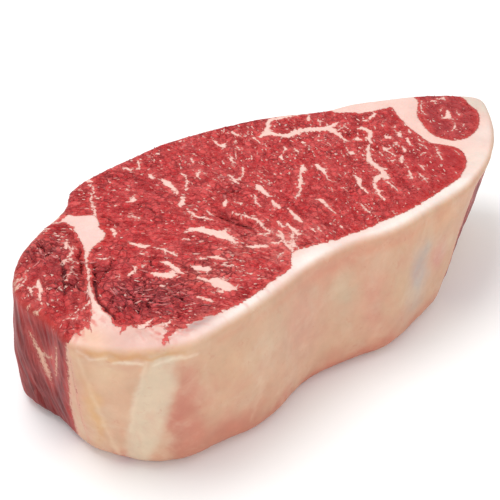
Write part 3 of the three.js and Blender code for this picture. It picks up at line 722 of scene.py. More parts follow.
def closed_line(edge, step=0.5):
    """A closed, smoothly rounded line through an edge's points, as points a step apart."""
    points = np.array(edge, float)
    where = np.linspace(0, len(points), 40 * len(points), endpoint=False)
    fine = smooth_line(points, where)
    along = np.cumsum(np.linalg.norm(fine - np.roll(fine, 1, 0), axis=1))
    count = int(along[-1] / step)
    picked = np.searchsorted(along, np.linspace(0, along[-1], count, endpoint=False))
    return fine[np.minimum(picked, len(fine) - 1)]


def grain_turn(plan):
    """The direction in which the cut fibres lie over on the upper face, in radians."""
    turn = np.interp(
        plan[:, 0], (-110, -95, -78, -65, -45, -20, 0), (62, 62, 132, 128, 118, 84, 60))
    return np.radians(turn) + 0.45 * noise(on_plan(plan), 13, 13)


def streaks(plan, size, seed):
    """Smooth unevenness like noise, but drawn out along the grain."""
    turn = grain_turn(plan)
    along = np.stack([np.cos(turn), np.sin(turn)], 1)
    total = sum(noise(on_plan(plan + k * size * along), size, seed) for k in (-2, -1, 0, 1, 2))
    return total / 2.4


def bundles(plan, size, seed):
    """The tone of each point's bundle of fibre, from 0 to 1."""
    turn = grain_turn(plan)
    cell = np.floor(plan / size).astype(int)
    nearest = np.full(len(plan), 9.0)
    tone = np.zeros(len(plan))
    for step in np.ndindex(5, 5):
        near = cell + step - (2, 2)
        number = shuffle[(shuffle[(near[:, 0] + seed) & 255] + near[:, 1]) & 255]
        across, down = ((near + 0.5 + 0.5 * slopes[number, :2]) * size - plan).T
        along = across * np.cos(turn) + down * np.sin(turn)
        aside = down * np.cos(turn) - across * np.sin(turn)
        gap = np.hypot(along / 1.7, aside) / size
        closer = gap < nearest
        tone = np.where(closer, number / 255, tone)
        nearest = np.where(closer, gap, nearest)
    return tone


def ragged(points, amount):
    """The same places, pushed about a little, so that what is drawn there gets a torn edge."""
    turn = grain_turn(points)
    flat = on_plan(points)
    push = np.stack([0.5 * noise(flat, 3.1, 4), 0.5 * noise(flat, 3.1, 6)], 1)
    fringe = 0.75 * streaks(points, 0.7, 5)
    push += fringe[:, None] * np.stack([np.cos(turn), np.sin(turn)], 1)
    return points + amount[:, None] * push


def twigs(seams):
    """Short side branches that leave the seams of fat to both sides."""
    draw = np.random.default_rng(17)
    made = []
    for seam in seams:
        for (x0, y0, wide0), (x1, y1, wide1) in zip(seam[:-1], seam[1:]):
            ahead = math.atan2(y1 - y0, x1 - x0)
            for _ in range(draw.poisson(math.hypot(x1 - x0, y1 - y0) / 1.5)):
                part = draw.uniform()
                wide = wide0 + part * (wide1 - wide0)
                turn = ahead + draw.choice((-1, 1)) * draw.uniform(0.4, 1.3)
                reach = draw.uniform(0.3, 0.9) + 0.3 * wide
                bend = turn + draw.uniform(-0.8, 0.8)
                x, y = x0 + part * (x1 - x0), y0 + part * (y1 - y0)
                x2, y2 = x + reach * math.cos(turn), y + reach * math.sin(turn)
                x3, y3 = x2 + reach * math.cos(bend), y2 + reach * math.sin(bend)
                made.append([(x, y, 0.6 * wide), (x2, y2, 0.3 * wide + 0.15), (x3, y3, 0.15)])
    return made


def mottled(points, amount):
    """Places on the side, pushed about a little."""
    flat = on_plan(points)
    push = [waves(flat, (0.45, 3.1, seed), (0.3, 1.3, seed + 1)) for seed in (4, 6)]
    return points + amount * np.stack(push, 1)


rim_station = station_at(rim_where)
rim_order = np.argsort(rim_station)


def rim_point(station):
    """The point of the upper rim at a station."""
    station = (station + BEHIND) % GIRTH - BEHIND
    known = rim_station[rim_order]
    return np.stack([np.interp(station, known, rim[rim_order, k]) for k in (0, 1)], 1)


FIBRE_SLANT = 0.36  # how far the fibres on the side run along it for each unit down


def side_seams(low, high, count, seed):
    """Seams of fat that run down the bare side of a muscle with its fibres, between stations."""
    draw = np.random.default_rng(seed)
    made = []
    for _ in range(count):
        x, y = draw.uniform(low, high), draw.uniform(8, 52)
        wide = draw.uniform(0.3, 1.3) ** 1.5
        seam = [(x, y, 0.3)]
        for _ in range(draw.integers(2, 6)):
            fall = draw.uniform(1.5, 5)
            x, y = x + FIBRE_SLANT * fall + draw.uniform(-2, 2), y - fall
            seam.append((x, y, wide * draw.uniform(0.5, 1.3)))
        made.append([*seam, (x + 0.6, y - 1.5, 0.2)])
    return made


back_seams = side_seams(250, 368, 34, 3) + side_seams(-150, -52, 32, 4)


def over(colours, share, colour):
    """Colours with one more laid over them, by a share from 0 to 1 for each point."""
    return colours + share[:, None] * (np.array(colour, float) - colours)


def tinted(base, across, down, patches):
    """A colour for every point: a base, over which soft patches are laid in turn.

    A patch is its place, its half sizes, its colour and how far it covers the base.
    """
    colours = np.tile(np.array(base, float), (len(across), 1))
    for place_a, place_b, half_a, half_b, colour, share in patches:
        gone = ((across - place_a) / half_a) ** 2 + ((down - place_b) / half_b) ** 2
        colours = over(colours, share * np.exp(-gone), colour)
    return colours


def share_of(plan, places, least=0.0):
    """How far something holds at each point: soft places laid over the least share of it."""
    patches = [(*place, (1,), share) for *place, share in places]
    return tinted((least,), *plan.T, patches)[:, 0]


FLAKE_LIMIT = 1.0  # how rare flakes of fat are in plain lean
SOFT_SIDE = 0.3  # fat and lean run into each other on the side, where the knife smeared them
EDGE_REACH = 8.0  # how far from a muscle's edge it still counts
BUNDLE_SIZE = 2.4


class Tissue:
    """What the skin of a piece is made of, point by point."""


def outside(points, edges):
    """How far points lie outside the muscles' edges; below nought inside them."""
    return band(points, borders(edges), EDGE_REACH) * np.where(in_any(points, edges), 1, -1)


def examine(piece, seams=(), clefts=(), islands=(), side_fat=(), side_lean=(), lean_seams=()):
    """Works out where a piece is fat, in millimetres in from the fat's border, and where torn."""
    tissue = Tissue()
    away = -band(piece.plan, borders(piece.edges), EDGE_REACH)
    tissue.edge = away if piece.lean else -away
    flat = on_plan(piece.plan)
    tissue.calm = share_of(piece.plan, calm_places)
    tissue.frayed = share_of(piece.plan, frayed_places)
    pushed = ragged(piece.plan, 1 - 0.8 * tissue.calm + 1.3 * tissue.frayed)
    drawn = band(pushed, [*seams, *twigs(seams)]) + 0.22 * noise(flat, 1.4, 34)
    rich = share_of(piece.plan, rich_places, 0.25) * (1 - 0.9 * tissue.calm)
    flakes = streaks(piece.plan, 1.0, 35) + 0.35 * noise(flat, 2.4, 36) - FLAKE_LIMIT + 0.34 * rich
    top = np.maximum(outside(pushed, piece.edges), np.maximum(drawn, 1.6 * flakes))
    top = np.minimum(top, -band(pushed, islands))

    at_side = mottled(np.column_stack([piece.station, piece.height]), 0.8)
    behind = ramp(-piece.station, 45, 55) + ramp(piece.station, 225, 240)
    wander = waves(on_plan(at_side), (2.2, 11, 37), (0.9, 3, 38))
    side = 3 * outside(rim_point(at_side[:, 0] + wander * behind), piece.edges)
    side = np.maximum(side, 2 * band(at_side, back_seams))
    side = np.maximum(side, band(at_side, side_fat, 6.0))
    side = np.minimum(side, -band(at_side, side_lean, 6.0))
    side = np.maximum(side, 2 * band(at_side, lean_seams))
    side = np.maximum(side, top - 0.8 * (THICKNESS - 2 - piece.height))
    side = np.clip(side * SOFT_SIDE, -3, 3)
    tissue.fat = piece.cut * top + (1 - piece.cut) * side

    tissue.sunk, tissue.torn = hollow(piece.plan)
    tissue.tone = bundles(pushed, BUNDLE_SIZE, 3)
    tissue.craggy = share_of(piece.plan, craggy_places)
    cracked = 0.5 + ramp(noise(flat, 8, 16), 0, 0.7) * 0.4 + tissue.craggy
    cracked = np.clip(cracked, 0, 1) * (1 - 0.9 * tissue.calm)
    tissue.cracked = cracked * piece.cut * ramp(tissue.edge, 0.2, 0.9)
    drawn_cleft = ramp(band(pushed, clefts, 2.0), -0.25, 0.2)
    tissue.cleft = drawn_cleft * piece.cut * ramp(tissue.edge, 0, 0.4)
    return tissue


CLEFT_DEPTH = 0.8


def top_relief(piece, tissue):
    """The relief of the upper cut face: dents, the lumps of the grain, and clefts."""
    lean = ramp(tissue.edge, -0.6, 1.5)
    lumps = 0.2 * noise(on_plan(piece.plan), 5.2, 1) + 0.16 * (tissue.tone - 0.5)
    lumps = lumps + 0.12 * streaks(piece.plan, 0.8, 3)
    proud = 0.10 * ramp(tissue.fat, -0.2, 0.6) * ramp(tissue.edge, 0, 1)
    torn = 1 + 1.3 * tissue.torn * lean
    return -tissue.sunk + lumps * (0.2 + 0.8 * lean) * torn + proud - CLEFT_DEPTH * tissue.cleft


def side_relief(piece, tissue):
    """The relief of the side: bundles of fibre on the lean, a gently lumpy sheet on the fat."""
    lean = ramp(-tissue.fat, -1, 1.5)
    along = np.column_stack([
        piece.station + FIBRE_SLANT * piece.height, 0.14 * piece.height, 0.1 * piece.station])
    fibres = waves(along, (0.34, 2.6, 8), (0.17, 1.2, 9))
    lumps = waves(piece.place, (0.45, 17, 10), (0.16, 6, 11))
    wrinkles = 0.05 * noise(piece.place, 1.9, 12)
    end_face = np.exp(-((piece.station - 182) / 15) ** 2) * ramp(piece.height, 50, 44)
    return lumps + lean * fibres + (1 - lean) * wrinkles - 1.2 * end_face


def shape(piece, tissue):
    """Moves a piece's skin out or in by its relief."""
    top = piece.upper * top_relief(piece, tissue)
    side = (1 - piece.cut) * np.where(piece.inside, 0, side_relief(piece, tissue))
    piece.place = piece.place + piece.normal * (top + side)[:, None]
    rise = piece.place[piece.hangs_from, 2] / THICKNESS
    piece.place[:, 2] = np.where(piece.inside, piece.height * rise, piece.place[:, 2])
    piece.place[:, 2] = np.maximum(piece.place[:, 2], 0)


def top_lean_paint(piece, tissue, base, tints):
    """Lean whose tone changes from patch to patch, from bundle to bundle and along the grain."""
    lively = 1 - tissue.calm
    patch = waves(on_plan(piece.plan), (0.6, 11, 20), (0.5, 4.5, 21))
    colours = tinted(base, *piece.plan.T, tints)
    colours = colours + (ramp(patch, -0.1, 0.8) * 0.75 * lively)[:, None] * np.array((12, 42, 38))
    colours = over(colours, 0.6 * tissue.calm, CALM_LEAN)
    colours = colours + 0.8 * tissue.craggy[:, None] * np.array((14, 32, 30))
    colours = over(colours, ramp(-patch, 0, 0.9) * 0.6 * lively, VIVID_LEAN)
    colours = over(colours, 0.55 * ramp(-tissue.edge, -4.5, -0.5), RIM_LEAN)
    broad, wide, narrow = (
        streaks(piece.plan, size, seed) for size, seed in ((3.4, 24), (1.7, 23), (0.62, 22)))
    shade = 0.26 * (tissue.tone - 0.5) + 0.12 * narrow + 0.22 * wide + 0.24 * broad
    shade = shade * (1 - 0.8 * tissue.calm)
    colours = over(colours, np.clip(1.9 * shade, 0, 0.8), LIGHT_LEAN)
    colours = over(colours, np.clip(-2.1 * shade, 0, 0.8), DEEP_LEAN)
    wispy = np.maximum(share_of(piece.plan, wispy_places), 0.8 * tissue.frayed)
    pale = ramp(0.5 * narrow + 0.9 * wide + 0.6 * wispy, 0.4, 1.0)
    pale = pale * (0.55 + 0.5 * wispy) * (1 - 0.85 * tissue.calm)
    halo = ramp(tissue.fat, -2, -0.1) * (0.25 + 0.5 * wispy) * (1 - 0.7 * tissue.calm)
    return over(colours, np.maximum(pale, halo), THREAD)


def side_lean_paint(piece):
    """Lean on the side, banded along its fibres, with pale strands."""
    at_side = on_plan(np.column_stack([piece.station, piece.height]))
    along = on_plan(np.column_stack([
        piece.station + FIBRE_SLANT * piece.height, 0.12 * piece.height]))
    bands = waves(along, (0.2, 4.2, 50), (0.16, 1.7, 51)) + 0.12 * noise(at_side, 9, 52)
    colours = tinted(SIDE_LEAN, piece.station, piece.height, side_lean_tints)
    colours *= 1 + bands[:, None]
    strands = ramp(noise(along, 1.6, 53) + 0.5 * noise(at_side, 6, 54), 0.3, 0.9)
    return over(colours, 0.35 * strands, SIDE_THREAD)


def top_fat_paint(piece, tissue, tints):
    """Fat on the cut face, with blood and clean threads in it where it frays into the lean."""
    colours = tinted(FAT, *piece.plan.T, tints)
    threads = ramp(streaks(piece.plan, 1.3, 48) + 0.4 * noise(on_plan(piece.plan), 3, 49), 0, 0.45)
    near = ramp(tissue.edge, -7, 0) * (0.04 + 0.96 * tissue.frayed) * piece.upper
    colours = over(colours, threads * near * 0.85, BLOODY_FAT)
    clean = ramp(-streaks(piece.plan, 1.4, 55), 0.1, 0.7) * ramp(tissue.edge, -9, -1)
    clean *= tissue.frayed * piece.upper
    return over(colours, 0.6 * clean, CLEAN_FAT)


def side_fat_paint(piece, tints, bands):
    """Fat on the side: soft cloudy patches, then bands along lines of (station, height, width)."""
    at_side = on_plan(np.column_stack([piece.station, piece.height]))
    station = piece.station + waves(at_side, (3, 9, 40), (1.2, 3.5, 41))
    height = piece.height + waves(at_side, (3, 9, 42), (1.2, 3.5, 43))
    colours = tinted(SIDE_FAT, station, height, tints)
    at_side = np.column_stack([
        piece.station + 0.5 * noise(at_side, 4, 44) + 0.25 * noise(at_side, 1.4, 45),
        piece.height + 0.5 * noise(at_side, 4, 46) + 0.25 * noise(at_side, 1.4, 47)])
    for line, soft, colour, share in bands:
        cover = share * ramp(band(at_side, [line], soft + 0.1), -soft, soft)
        colours = over(colours, cover, colour)
    return colours


def linear(colours):
    """Screen colours of 0 to 255 as the linear light that a material wants."""
    share = np.asarray(colours, float) / 255
    return np.where(share <= 0.04045, share / 12.92, ((share + 0.055) / 1.055) ** 2.4)


def make_mesh(name, piece, values, colours):
    """A mesh object from a piece, in metres and over the middle of the steak."""
    mesh = bpy.data.meshes.new(name)
    place = (piece.place - (*middle, 0)) * MM
    mesh.vertices.add(len(place))
    mesh.vertices.foreach_set("co", place.ravel())
    mesh.loops.add(piece.faces.size)
    mesh.loops.foreach_set("vertex_index", piece.faces.ravel())
    mesh.polygons.add(len(piece.faces))
    mesh.polygons.foreach_set("loop_start", np.arange(0, piece.faces.size, 3))
    mesh.update(calc_edges=True)
    mesh.polygons.foreach_set("use_smooth", piece.smooth)
    for key, numbers in values.items():
        layer = mesh.attributes.new(key, "FLOAT", "POINT")
        layer.data.foreach_set("value", numbers.astype(np.float32))
    for key, numbers in colours.items():
        layer = mesh.attributes.new(key, "FLOAT_COLOR", "POINT")
        rgba = np.column_stack([linear(numbers), np.ones(len(numbers))])
        layer.data.foreach_set("color", rgba.astype(np.float32).ravel())
    return bring_in(name, mesh)


def finish_skin(name, piece, tissue, lean_base=LEAN, lean_tints=(), fat_tints=(),
                side_fat_tints=(), side_bands=()):
    """Paints a piece's skin, shapes it and makes its mesh."""
    cut = piece.cut[:, None]
    top_lean = top_lean_paint(piece, tissue, lean_base, lean_tints)
    lean = cut * top_lean + (1 - cut) * side_lean_paint(piece)
    side_fat = side_fat_paint(piece, side_fat_tints, side_bands)
    fat = cut * top_fat_paint(piece, tissue, fat_tints) + (1 - cut) * side_fat
    bare = piece.upper * ramp(-tissue.fat, 0.2, 0.9) * ramp(tissue.edge, 0.3, 1)
    swarms = ramp(waves(on_plan(piece.plan), (1, 5.5, 30), (0.6, 14, 31)), -0.4, 0.9)
    shape(piece, tissue)
    values = {
        "fat_depth": tissue.fat,
        "cleft": tissue.cleft,
        "side": 1 - piece.cut,
        "cracked": tissue.cracked,
        "flecked": bare * swarms * (1 - 0.7 * tissue.torn) * (1 - 0.6 * tissue.craggy)
        * (1 - 0.85 * tissue.calm),
        "fibred": bare * (1 - 0.85 * tissue.calm),
        "calm": tissue.calm,
        "craggy": bare * tissue.craggy,
        "grain": grain_turn(piece.plan),
    }
    return make_mesh(name, piece, values, {"lean_colour": lean, "fat_colour": fat})


def add(tree, kind, inputs=None, **settings):
    """Adds a node to a tree, with its settings and with values or links on its inputs."""
    node = tree.nodes.new(kind)
    for key, value in settings.items():
        setattr(node, key, value)
    for key, value in (inputs or {}).items():
        if isinstance(value, bpy.types.NodeSocket):
            tree.links.new(value, node.inputs[key])
        else:
            node.inputs[key].default_value = value
    return node


def sums(tree, operation, first, second=0.0, third=0.0):
    """The result of one sum over numbers or sockets."""
    node = add(tree, "ShaderNodeMath", {0: first, 1: second, 2: third}, operation=operation)
    return node.outputs[0]


def times(tree, first, second):
    """The product of two numbers or sockets."""
    return sums(tree, "MULTIPLY", first, second)


def mixed(tree, share, first, second):
    """Two numbers mixed."""
    node = add(tree, "ShaderNodeMix", {0: share, 2: first, 3: second}, data_type="FLOAT")
    return node.outputs[0]


def scaled(tree, vector, share):
    """A colour or a push made stronger or weaker."""
    node = add(tree, "ShaderNodeVectorMath", {0: vector, "Scale": share}, operation="SCALE")
    return node.outputs[0]


def stretch(tree, value, low, high, to_low=0.0, to_high=1.0, kind="LINEAR"):
    """A value, or a noise, spread from one range to another."""
    node = add(tree, "ShaderNodeMapRange", {
        "Value": value, "From Min": low, "From Max": high, "To Min": to_low, "To Max": to_high,
    }, interpolation_type=kind)
    return node.outputs["Result"]


def grain(tree, place, scale, detail=2.0, rough=0.5, twist=0.0):
    """Noise over a place, with lumps of about one over scale, in metres."""
    node = add(tree, "ShaderNodeTexNoise", {
        "Vector": place, "Scale": scale, "Detail": detail, "Roughness": rough,
        "Distortion": twist,
    })
    return node.outputs["Fac"]


def cells(tree, place, scale):
    """How near a place is to the border of its cell, of about one over scale, in metres."""
    node = add(tree, "ShaderNodeTexVoronoi", {"Vector": place, "Scale": scale},
               feature="DISTANCE_TO_EDGE")
    return node.outputs["Distance"]


def blend(tree, share, first, second):
    """Two colours mixed."""
    node = add(tree, "ShaderNodeMix", {0: share}, data_type="RGBA", blend_type="MIX")
    for socket, value in ((node.inputs[6], first), (node.inputs[7], second)):
        if isinstance(value, bpy.types.NodeSocket):
            tree.links.new(value, socket)
        else:
            socket.default_value = (*linear(value), 1)
    return node.outputs[2]


def carried(tree, name, kind="Fac"):
    """A number or a colour that the mesh carries at its points."""
    return add(tree, "ShaderNodeAttribute", attribute_name=name).outputs[kind]


def new_material(name):
    """A material with nothing in its tree yet."""
    material = bpy.data.materials.new(name)
    material.use_nodes = True
    material.node_tree.nodes.clear()
    return material


def moist(tree, colour, rough, shine, height, strength, reach):
    """Ends a tree in raw flesh: bumpy and moist, and a little light gets into it."""
    bump = add(tree, "ShaderNodeBump", {"Height": height, "Strength": strength, "Distance": reach})
    surface = add(tree, "ShaderNodeBsdfPrincipled", {
        "Base Color": colour, "Roughness": rough, "Normal": bump.outputs[0],
        "IOR": 1.4, "Specular IOR Level": shine, "Subsurface Weight": 0.15,
        "Subsurface Radius": (1.0, 0.35, 0.25), "Subsurface Scale": MM,
    })
    out = add(tree, "ShaderNodeOutputMaterial")
    tree.links.new(surface.outputs[0], out.inputs["Surface"])


def meat_material(name, gloss_lean, gloss_fat, shine):
    """Raw meat: moist fibrous lean where the mesh says it is lean, and smooth fat elsewhere."""
    material = new_material(name)
    tree = material.node_tree
    place = add(tree, "ShaderNodeTexCoord").outputs["Object"]
    fibres = add(tree, "ShaderNodeMapping", {
        "Vector": place, "Rotation": (math.radians(-20), 0, 0), "Scale": (1, 1, 0.12),
    }).outputs["Vector"]
    side = carried(tree, "side")

    def both(scale, detail, rough=0.5, twist=0.0):
        """Noise that runs along the fibres on the side and is even on the cut faces."""
        even = grain(tree, place, scale, detail, rough, twist)
        return mixed(tree, side, even, grain(tree, fibres, 0.7 * scale, detail, rough, twist))

    coarse = both(230, 3, 0.6)
    fine = both(1150, 2, 0.6, 0.6)
    specks = both(1900, 1, 0.5, 0.3)
    lively = sums(tree, "SUBTRACT", 1.0, times(tree, carried(tree, "calm"), 0.8))
    lively = times(tree, lively, stretch(tree, side, 0, 1, 1, 0.3))

    # how deep in the fat, with a ragged border to the lean
    wander = stretch(tree, grain(tree, place, 1000, 3, 0.7), 0.25, 0.75, -0.45, 0.45)
    depth = sums(tree, "ADD", carried(tree, "fat_depth"), wander)
    is_fat = stretch(tree, depth, -0.15, 0.3, kind="SMOOTHSTEP")
    blush = stretch(tree, depth, -1.6, 0.0, kind="SMOOTHSTEP")

    # cracks between the bundles, finer ones in the crags; they are cut into the bump and painted
    # dark as painted shade
    bend = add(tree, "ShaderNodeTexNoise", {"Vector": place, "Scale": 500.0, "Detail": 1.0})
    bend = scaled(tree, bend.outputs["Color"], 0.0014)
    bent = add(tree, "ShaderNodeVectorMath", {0: place, 1: bend}, operation="ADD").outputs[0]
    crack = stretch(tree, cells(tree, bent, 360.0), 0.04, 0.15, 1, 0)
    crack = times(tree, crack, carried(tree, "cracked"))
    crack = times(tree, crack, stretch(tree, coarse, 0.34, 0.48))
    craggy = carried(tree, "craggy")
    crag = times(tree, stretch(tree, cells(tree, bent, 620.0), 0.03, 0.16, 1, 0), craggy)
    crag = times(tree, crag, stretch(tree, coarse, 0.42, 0.54))
    crack = sums(tree, "MAXIMUM", crack, crag)
    cell = add(tree, "ShaderNodeTexVoronoi", {"Vector": bent, "Scale": 360.0}).outputs["Color"]
    cell = add(tree, "ShaderNodeSeparateColor", {"Color": cell}).outputs["Red"]

    lean = carried(tree, "lean_colour", "Color")
    shade = stretch(tree, coarse, 0.3, 0.7, -0.16, 0.2)
    shade = sums(tree, "ADD", shade, stretch(tree, fine, 0.3, 0.7, -0.13, 0.14))
    shade = sums(tree, "ADD", shade, stretch(tree, cell, 0, 1, -0.16, 0.16))
    shade = times(tree, shade, lively)
    lean = blend(tree, stretch(tree, shade, 0.0, 0.4, 0, 0.65), lean, (228, 104, 102))
    lean = blend(tree, stretch(tree, shade, 0.0, -0.4, 0, 0.65), lean, (112, 0, 4))
    lean = blend(tree, times(tree, blush, 0.4), lean, (212, 84, 78))
    pale = times(tree, stretch(tree, specks, 0.62, 0.72, 0, 0.4), lively)
    lean = blend(tree, pale, lean, (222, 132, 122))
    dark = times(tree, stretch(tree, fine, 0.4, 0.3, 0, 0.45), lively)
    lean = blend(tree, dark, lean, (104, 6, 14))
    # the cracks drawn dark: painted shade in them, beside their groove in the bump
    lean = blend(tree, times(tree, crack, 0.75), lean, (92, 4, 12))
    # the clefts drawn nearly black: painted shade in them, over their dent
    lean = blend(tree, times(tree, carried(tree, "cleft"), 0.85), lean, (66, 4, 10))

    cloudy = stretch(tree, grain(tree, place, 130, 4, 0.6), 0.3, 0.7, 0.93, 1.05)
    fat = scaled(tree, carried(tree, "fat_colour", "Color"), cloudy)
    # rosy, waxy and bloody clouds, on the side alone
    for at, scale, detail, rough, twist, low, high, most, colour in (
            (place, 55, 5, 0.65, 0.5, 0.48, 0.72, 0.5, (206, 142, 122)),
            (bent, 80, 4, 0.6, 0.4, 0.5, 0.75, 0.4, (224, 202, 174)),
            (bent, 300, 4, 0.7, 0.8, 0.6, 0.75, 0.4, (196, 120, 104))):
        cloud = stretch(tree, grain(tree, at, scale, detail, rough, twist), low, high, 0, most)
        fat = blend(tree, times(tree, cloud, side), fat, colour)
    rose = stretch(tree, depth, 0.1, 0.9, 0.4, 0.0, "SMOOTHSTEP")
    fat = blend(tree, rose, fat, (228, 160, 146))

    rough_lean = stretch(tree, coarse, 0.3, 0.7, gloss_lean - 0.08, gloss_lean + 0.12)
    rough_lean = sums(tree, "MULTIPLY_ADD", craggy, -0.16, rough_lean)
    lean_height = sums(tree, "ADD", times(tree, fine, 0.6), coarse)
    lean_height = sums(tree, "SUBTRACT", lean_height, times(tree, crack, 0.8))
    fat_height = times(tree, grain(tree, place, 420, 4, 0.6), 0.22)
    moist(
        tree, blend(tree, is_fat, lean, fat), mixed(tree, is_fat, rough_lean, gloss_fat), shine,
        mixed(tree, is_fat, lean_height, fat_height), 0.7,
        stretch(tree, craggy, 0, 1, 0.6 * MM, MM))
    return material


lean_material = meat_material("marbled_lean", 0.42, 0.42, 0.22)
eye_line = closed_line(eye_edge)
eye_piece = carve([eye_line], True, LEAN_CELL)
eye_tissue = examine(eye_piece, eye_seams, eye_clefts)
eye_muscle = finish_skin("eye_muscle_lean", eye_piece, eye_tissue, LEAN, eye_tints)
eye_muscle.data.materials.append(lean_material)
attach(eye_muscle, "root")
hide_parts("eye_muscle")

# ---- End muscle ----
# The flat muscle at the left end, darker than the eye. Its cut side shows at the end of the steak,
# where its fibres run down from the upper face.

end_edge = [
    (-77, 40), (-104, 44), (-124, 10), (-120, -24), (-110, -24), (-102, -22), (-97, -19.5),
    (-93, -14), (-90.3, -8.7), (-84.7, 0.8), (-80.5, 7.7), (-76.7, 14.8), (-74.3, 21.7),
    (-73.2, 27.2), (-74.2, 30.8), (-76.7, 31.3),
]
end_seams = [
    [(-98.7, 7.2, 1.4), (-99.9, 4.3, 2), (-102.1, 0.6, 1.2), (-103.7, -2.4, 0.6),
     (-104.5, -5.5, 0.3)],
    [(-79, 16.8, 0.5), (-81.9, 13.8, 0.8), (-85.6, 10.5, 1), (-87.8, 10.1, 0.6)],
    [(-85.6, 7.2, 0.6), (-90.7, 2.4, 0.7), (-92.2, 1.3, 0.8)],
    [(-80.5, 19.5, 0.7), (-82, 16.5, 0.9)],
    [(-90.7, -10.4, 0.8), (-93.7, -13, 1), (-97.4, -14.5, 1.1), (-101, -14.1, 0.9)],
    [(-100, 12, 0.5), (-104, 8, 0.8)], [(-96, 16, 0.5), (-100, 13, 0.5)],
    [(-88, 10, 0.7), (-84.5, 11, 0.9), (-83.5, 8, 0.5)],
    [(-84.5, 11, 0.8), (-81, 14.5, 0.7), (-80, 15.5, 0.5)],
    [(-81, 16, 0.6), (-80.5, 18.5, 0.9), (-78.5, 20.5, 0.5)], [(-104, 3, 0.7), (-102.5, 6, 1)],
    [(-103.5, 11, 0.7), (-101.5, 13, 0.9)], [(-95, 22, 0.6), (-88, 27, 0.9), (-80, 30, 0.8)],
    [(-104, -14.5, 0.5), (-100, -17, 0.9)],
]
end_clefts = [
    [(-86, 14, 0.4), (-88.5, 8, 0.8), (-92, 2, 0.5)],
    [(-91, 5, 0.3), (-94, -1, 0.6), (-97, -5, 0.3)],
    [(-84, 21, 0.4), (-87.5, 18, 0.8), (-90.5, 16.5, 0.3)],
    [(-89, 23.5, 0.5), (-87.5, 21, 0.9), (-88.5, 19, 0.4)],
    [(-93, 0, 0.5), (-91.5, -3, 0.9), (-90, -6, 0.4)],
    [(-98, 3, 0.4), (-96, -2, 0.6), (-95.5, -6, 0.3)],
    [(-85.5, 2, 0.5), (-82, 8, 0.6), (-78.5, 14, 0.5)],
]
END_LEAN = (168, 16, 22)
end_tints = [
    (-94, 4, 9, 12, (150, 34, 42), 0.6),
    (-84, 20, 6, 7, (138, 18, 28), 0.6),
    (-104, -2, 3, 16, (176, 44, 42), 0.5),
    (-88, 0, 3, 16, (132, 22, 30), 0.6),
]
# Fat on the side, by station, height and width.
side_fat = [
    [(-27, 41, 0.6), (-22, 34, 3), (-18.5, 28, 3.6), (-17, 25, 1.5)],
    [(-22, 34, 2), (-17.5, 35.5, 1.6), (-15, 37, 0.6)],
    [(-1.5, 50, 3), (-2.5, 38, 4), (-3.5, 25, 6), (-3.5, 4, 8)],
    [(-11, 44, 0.8), (-12, 36, 1.4), (-13, 30, 0.6)],
]
end_line = closed_line(end_edge)
end_piece = carve([end_line], True, LEAN_CELL)
end_tissue = examine(end_piece, end_seams, end_clefts, side_fat=side_fat)
end_muscle = finish_skin("end_muscle_lean", end_piece, end_tissue, END_LEAN, end_tints)
end_muscle.data.materials.append(lean_material)
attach(end_muscle, "root")
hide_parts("end_muscle")

# ---- Small muscle ----
# The round muscle in the tail, close grained, with a star of fat at its middle.
# It is lean of its own, wrapped in the fat cap.

small_edge = [
    (89, 22), (89.5, 10.2), (85, 5.5), (78.7, 0.7), (75, -5), (72.5, -9.5), (70.3, -15.7),
    (72.2, -22.7), (76.3, -25), (84, -24.5), (90.8, -21.3), (98.8, -14.8), (102.5, -7.3),
    (104.7, -1.2), (103, 4), (104, 16),
]
small_seams = [
    [(91.2, -5, 0.6), (89.2, -6.8, 2), (87, -9, 2.4), (84.2, -8.4, 1)],
    [(87, -9, 1.6), (85.4, -10.6, 0.6)],
    [(90, 8, 0.5), (86, 4.6, 0.8), (83, 1.8, 0.8), (81.2, -1.4, 0.5)],
    [(92, 4.4, 1), (94, 3.4, 1.2)], [(96, 4.6, 0.7), (98, 2.4, 1.2), (99.5, 3.4, 0.5)],
    [(88.5, -3.6, 0.5), (92, -1.6, 0.4)], [(94.4, -7, 0.4), (92, -9.5, 0.7), (91, -11.4, 0.4)],
    [(78.6, -17.8, 0.5), (82, -16, 0.9), (84.8, -14.2, 0.5)],
    [(84.4, -18.6, 0.4), (86.8, -17, 0.7)],
]
SMALL_LEAN = (162, 46, 52)
small_line = closed_line(small_edge)
small_piece = carve([small_line], True, LEAN_CELL)
small_tissue = examine(small_piece, small_seams)
small_muscle = finish_skin("small_muscle_lean", small_piece, small_tissue, SMALL_LEAN)
small_muscle.data.materials.append(lean_material)
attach(small_muscle, "root")
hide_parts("small_muscle")

# ---- Fat cap ----
# One layer of firm fat round the front and the tail, with the seams that part the muscles. The
# knife trimmed it on the outside, so its side is a smooth sheet with faint blood in it.

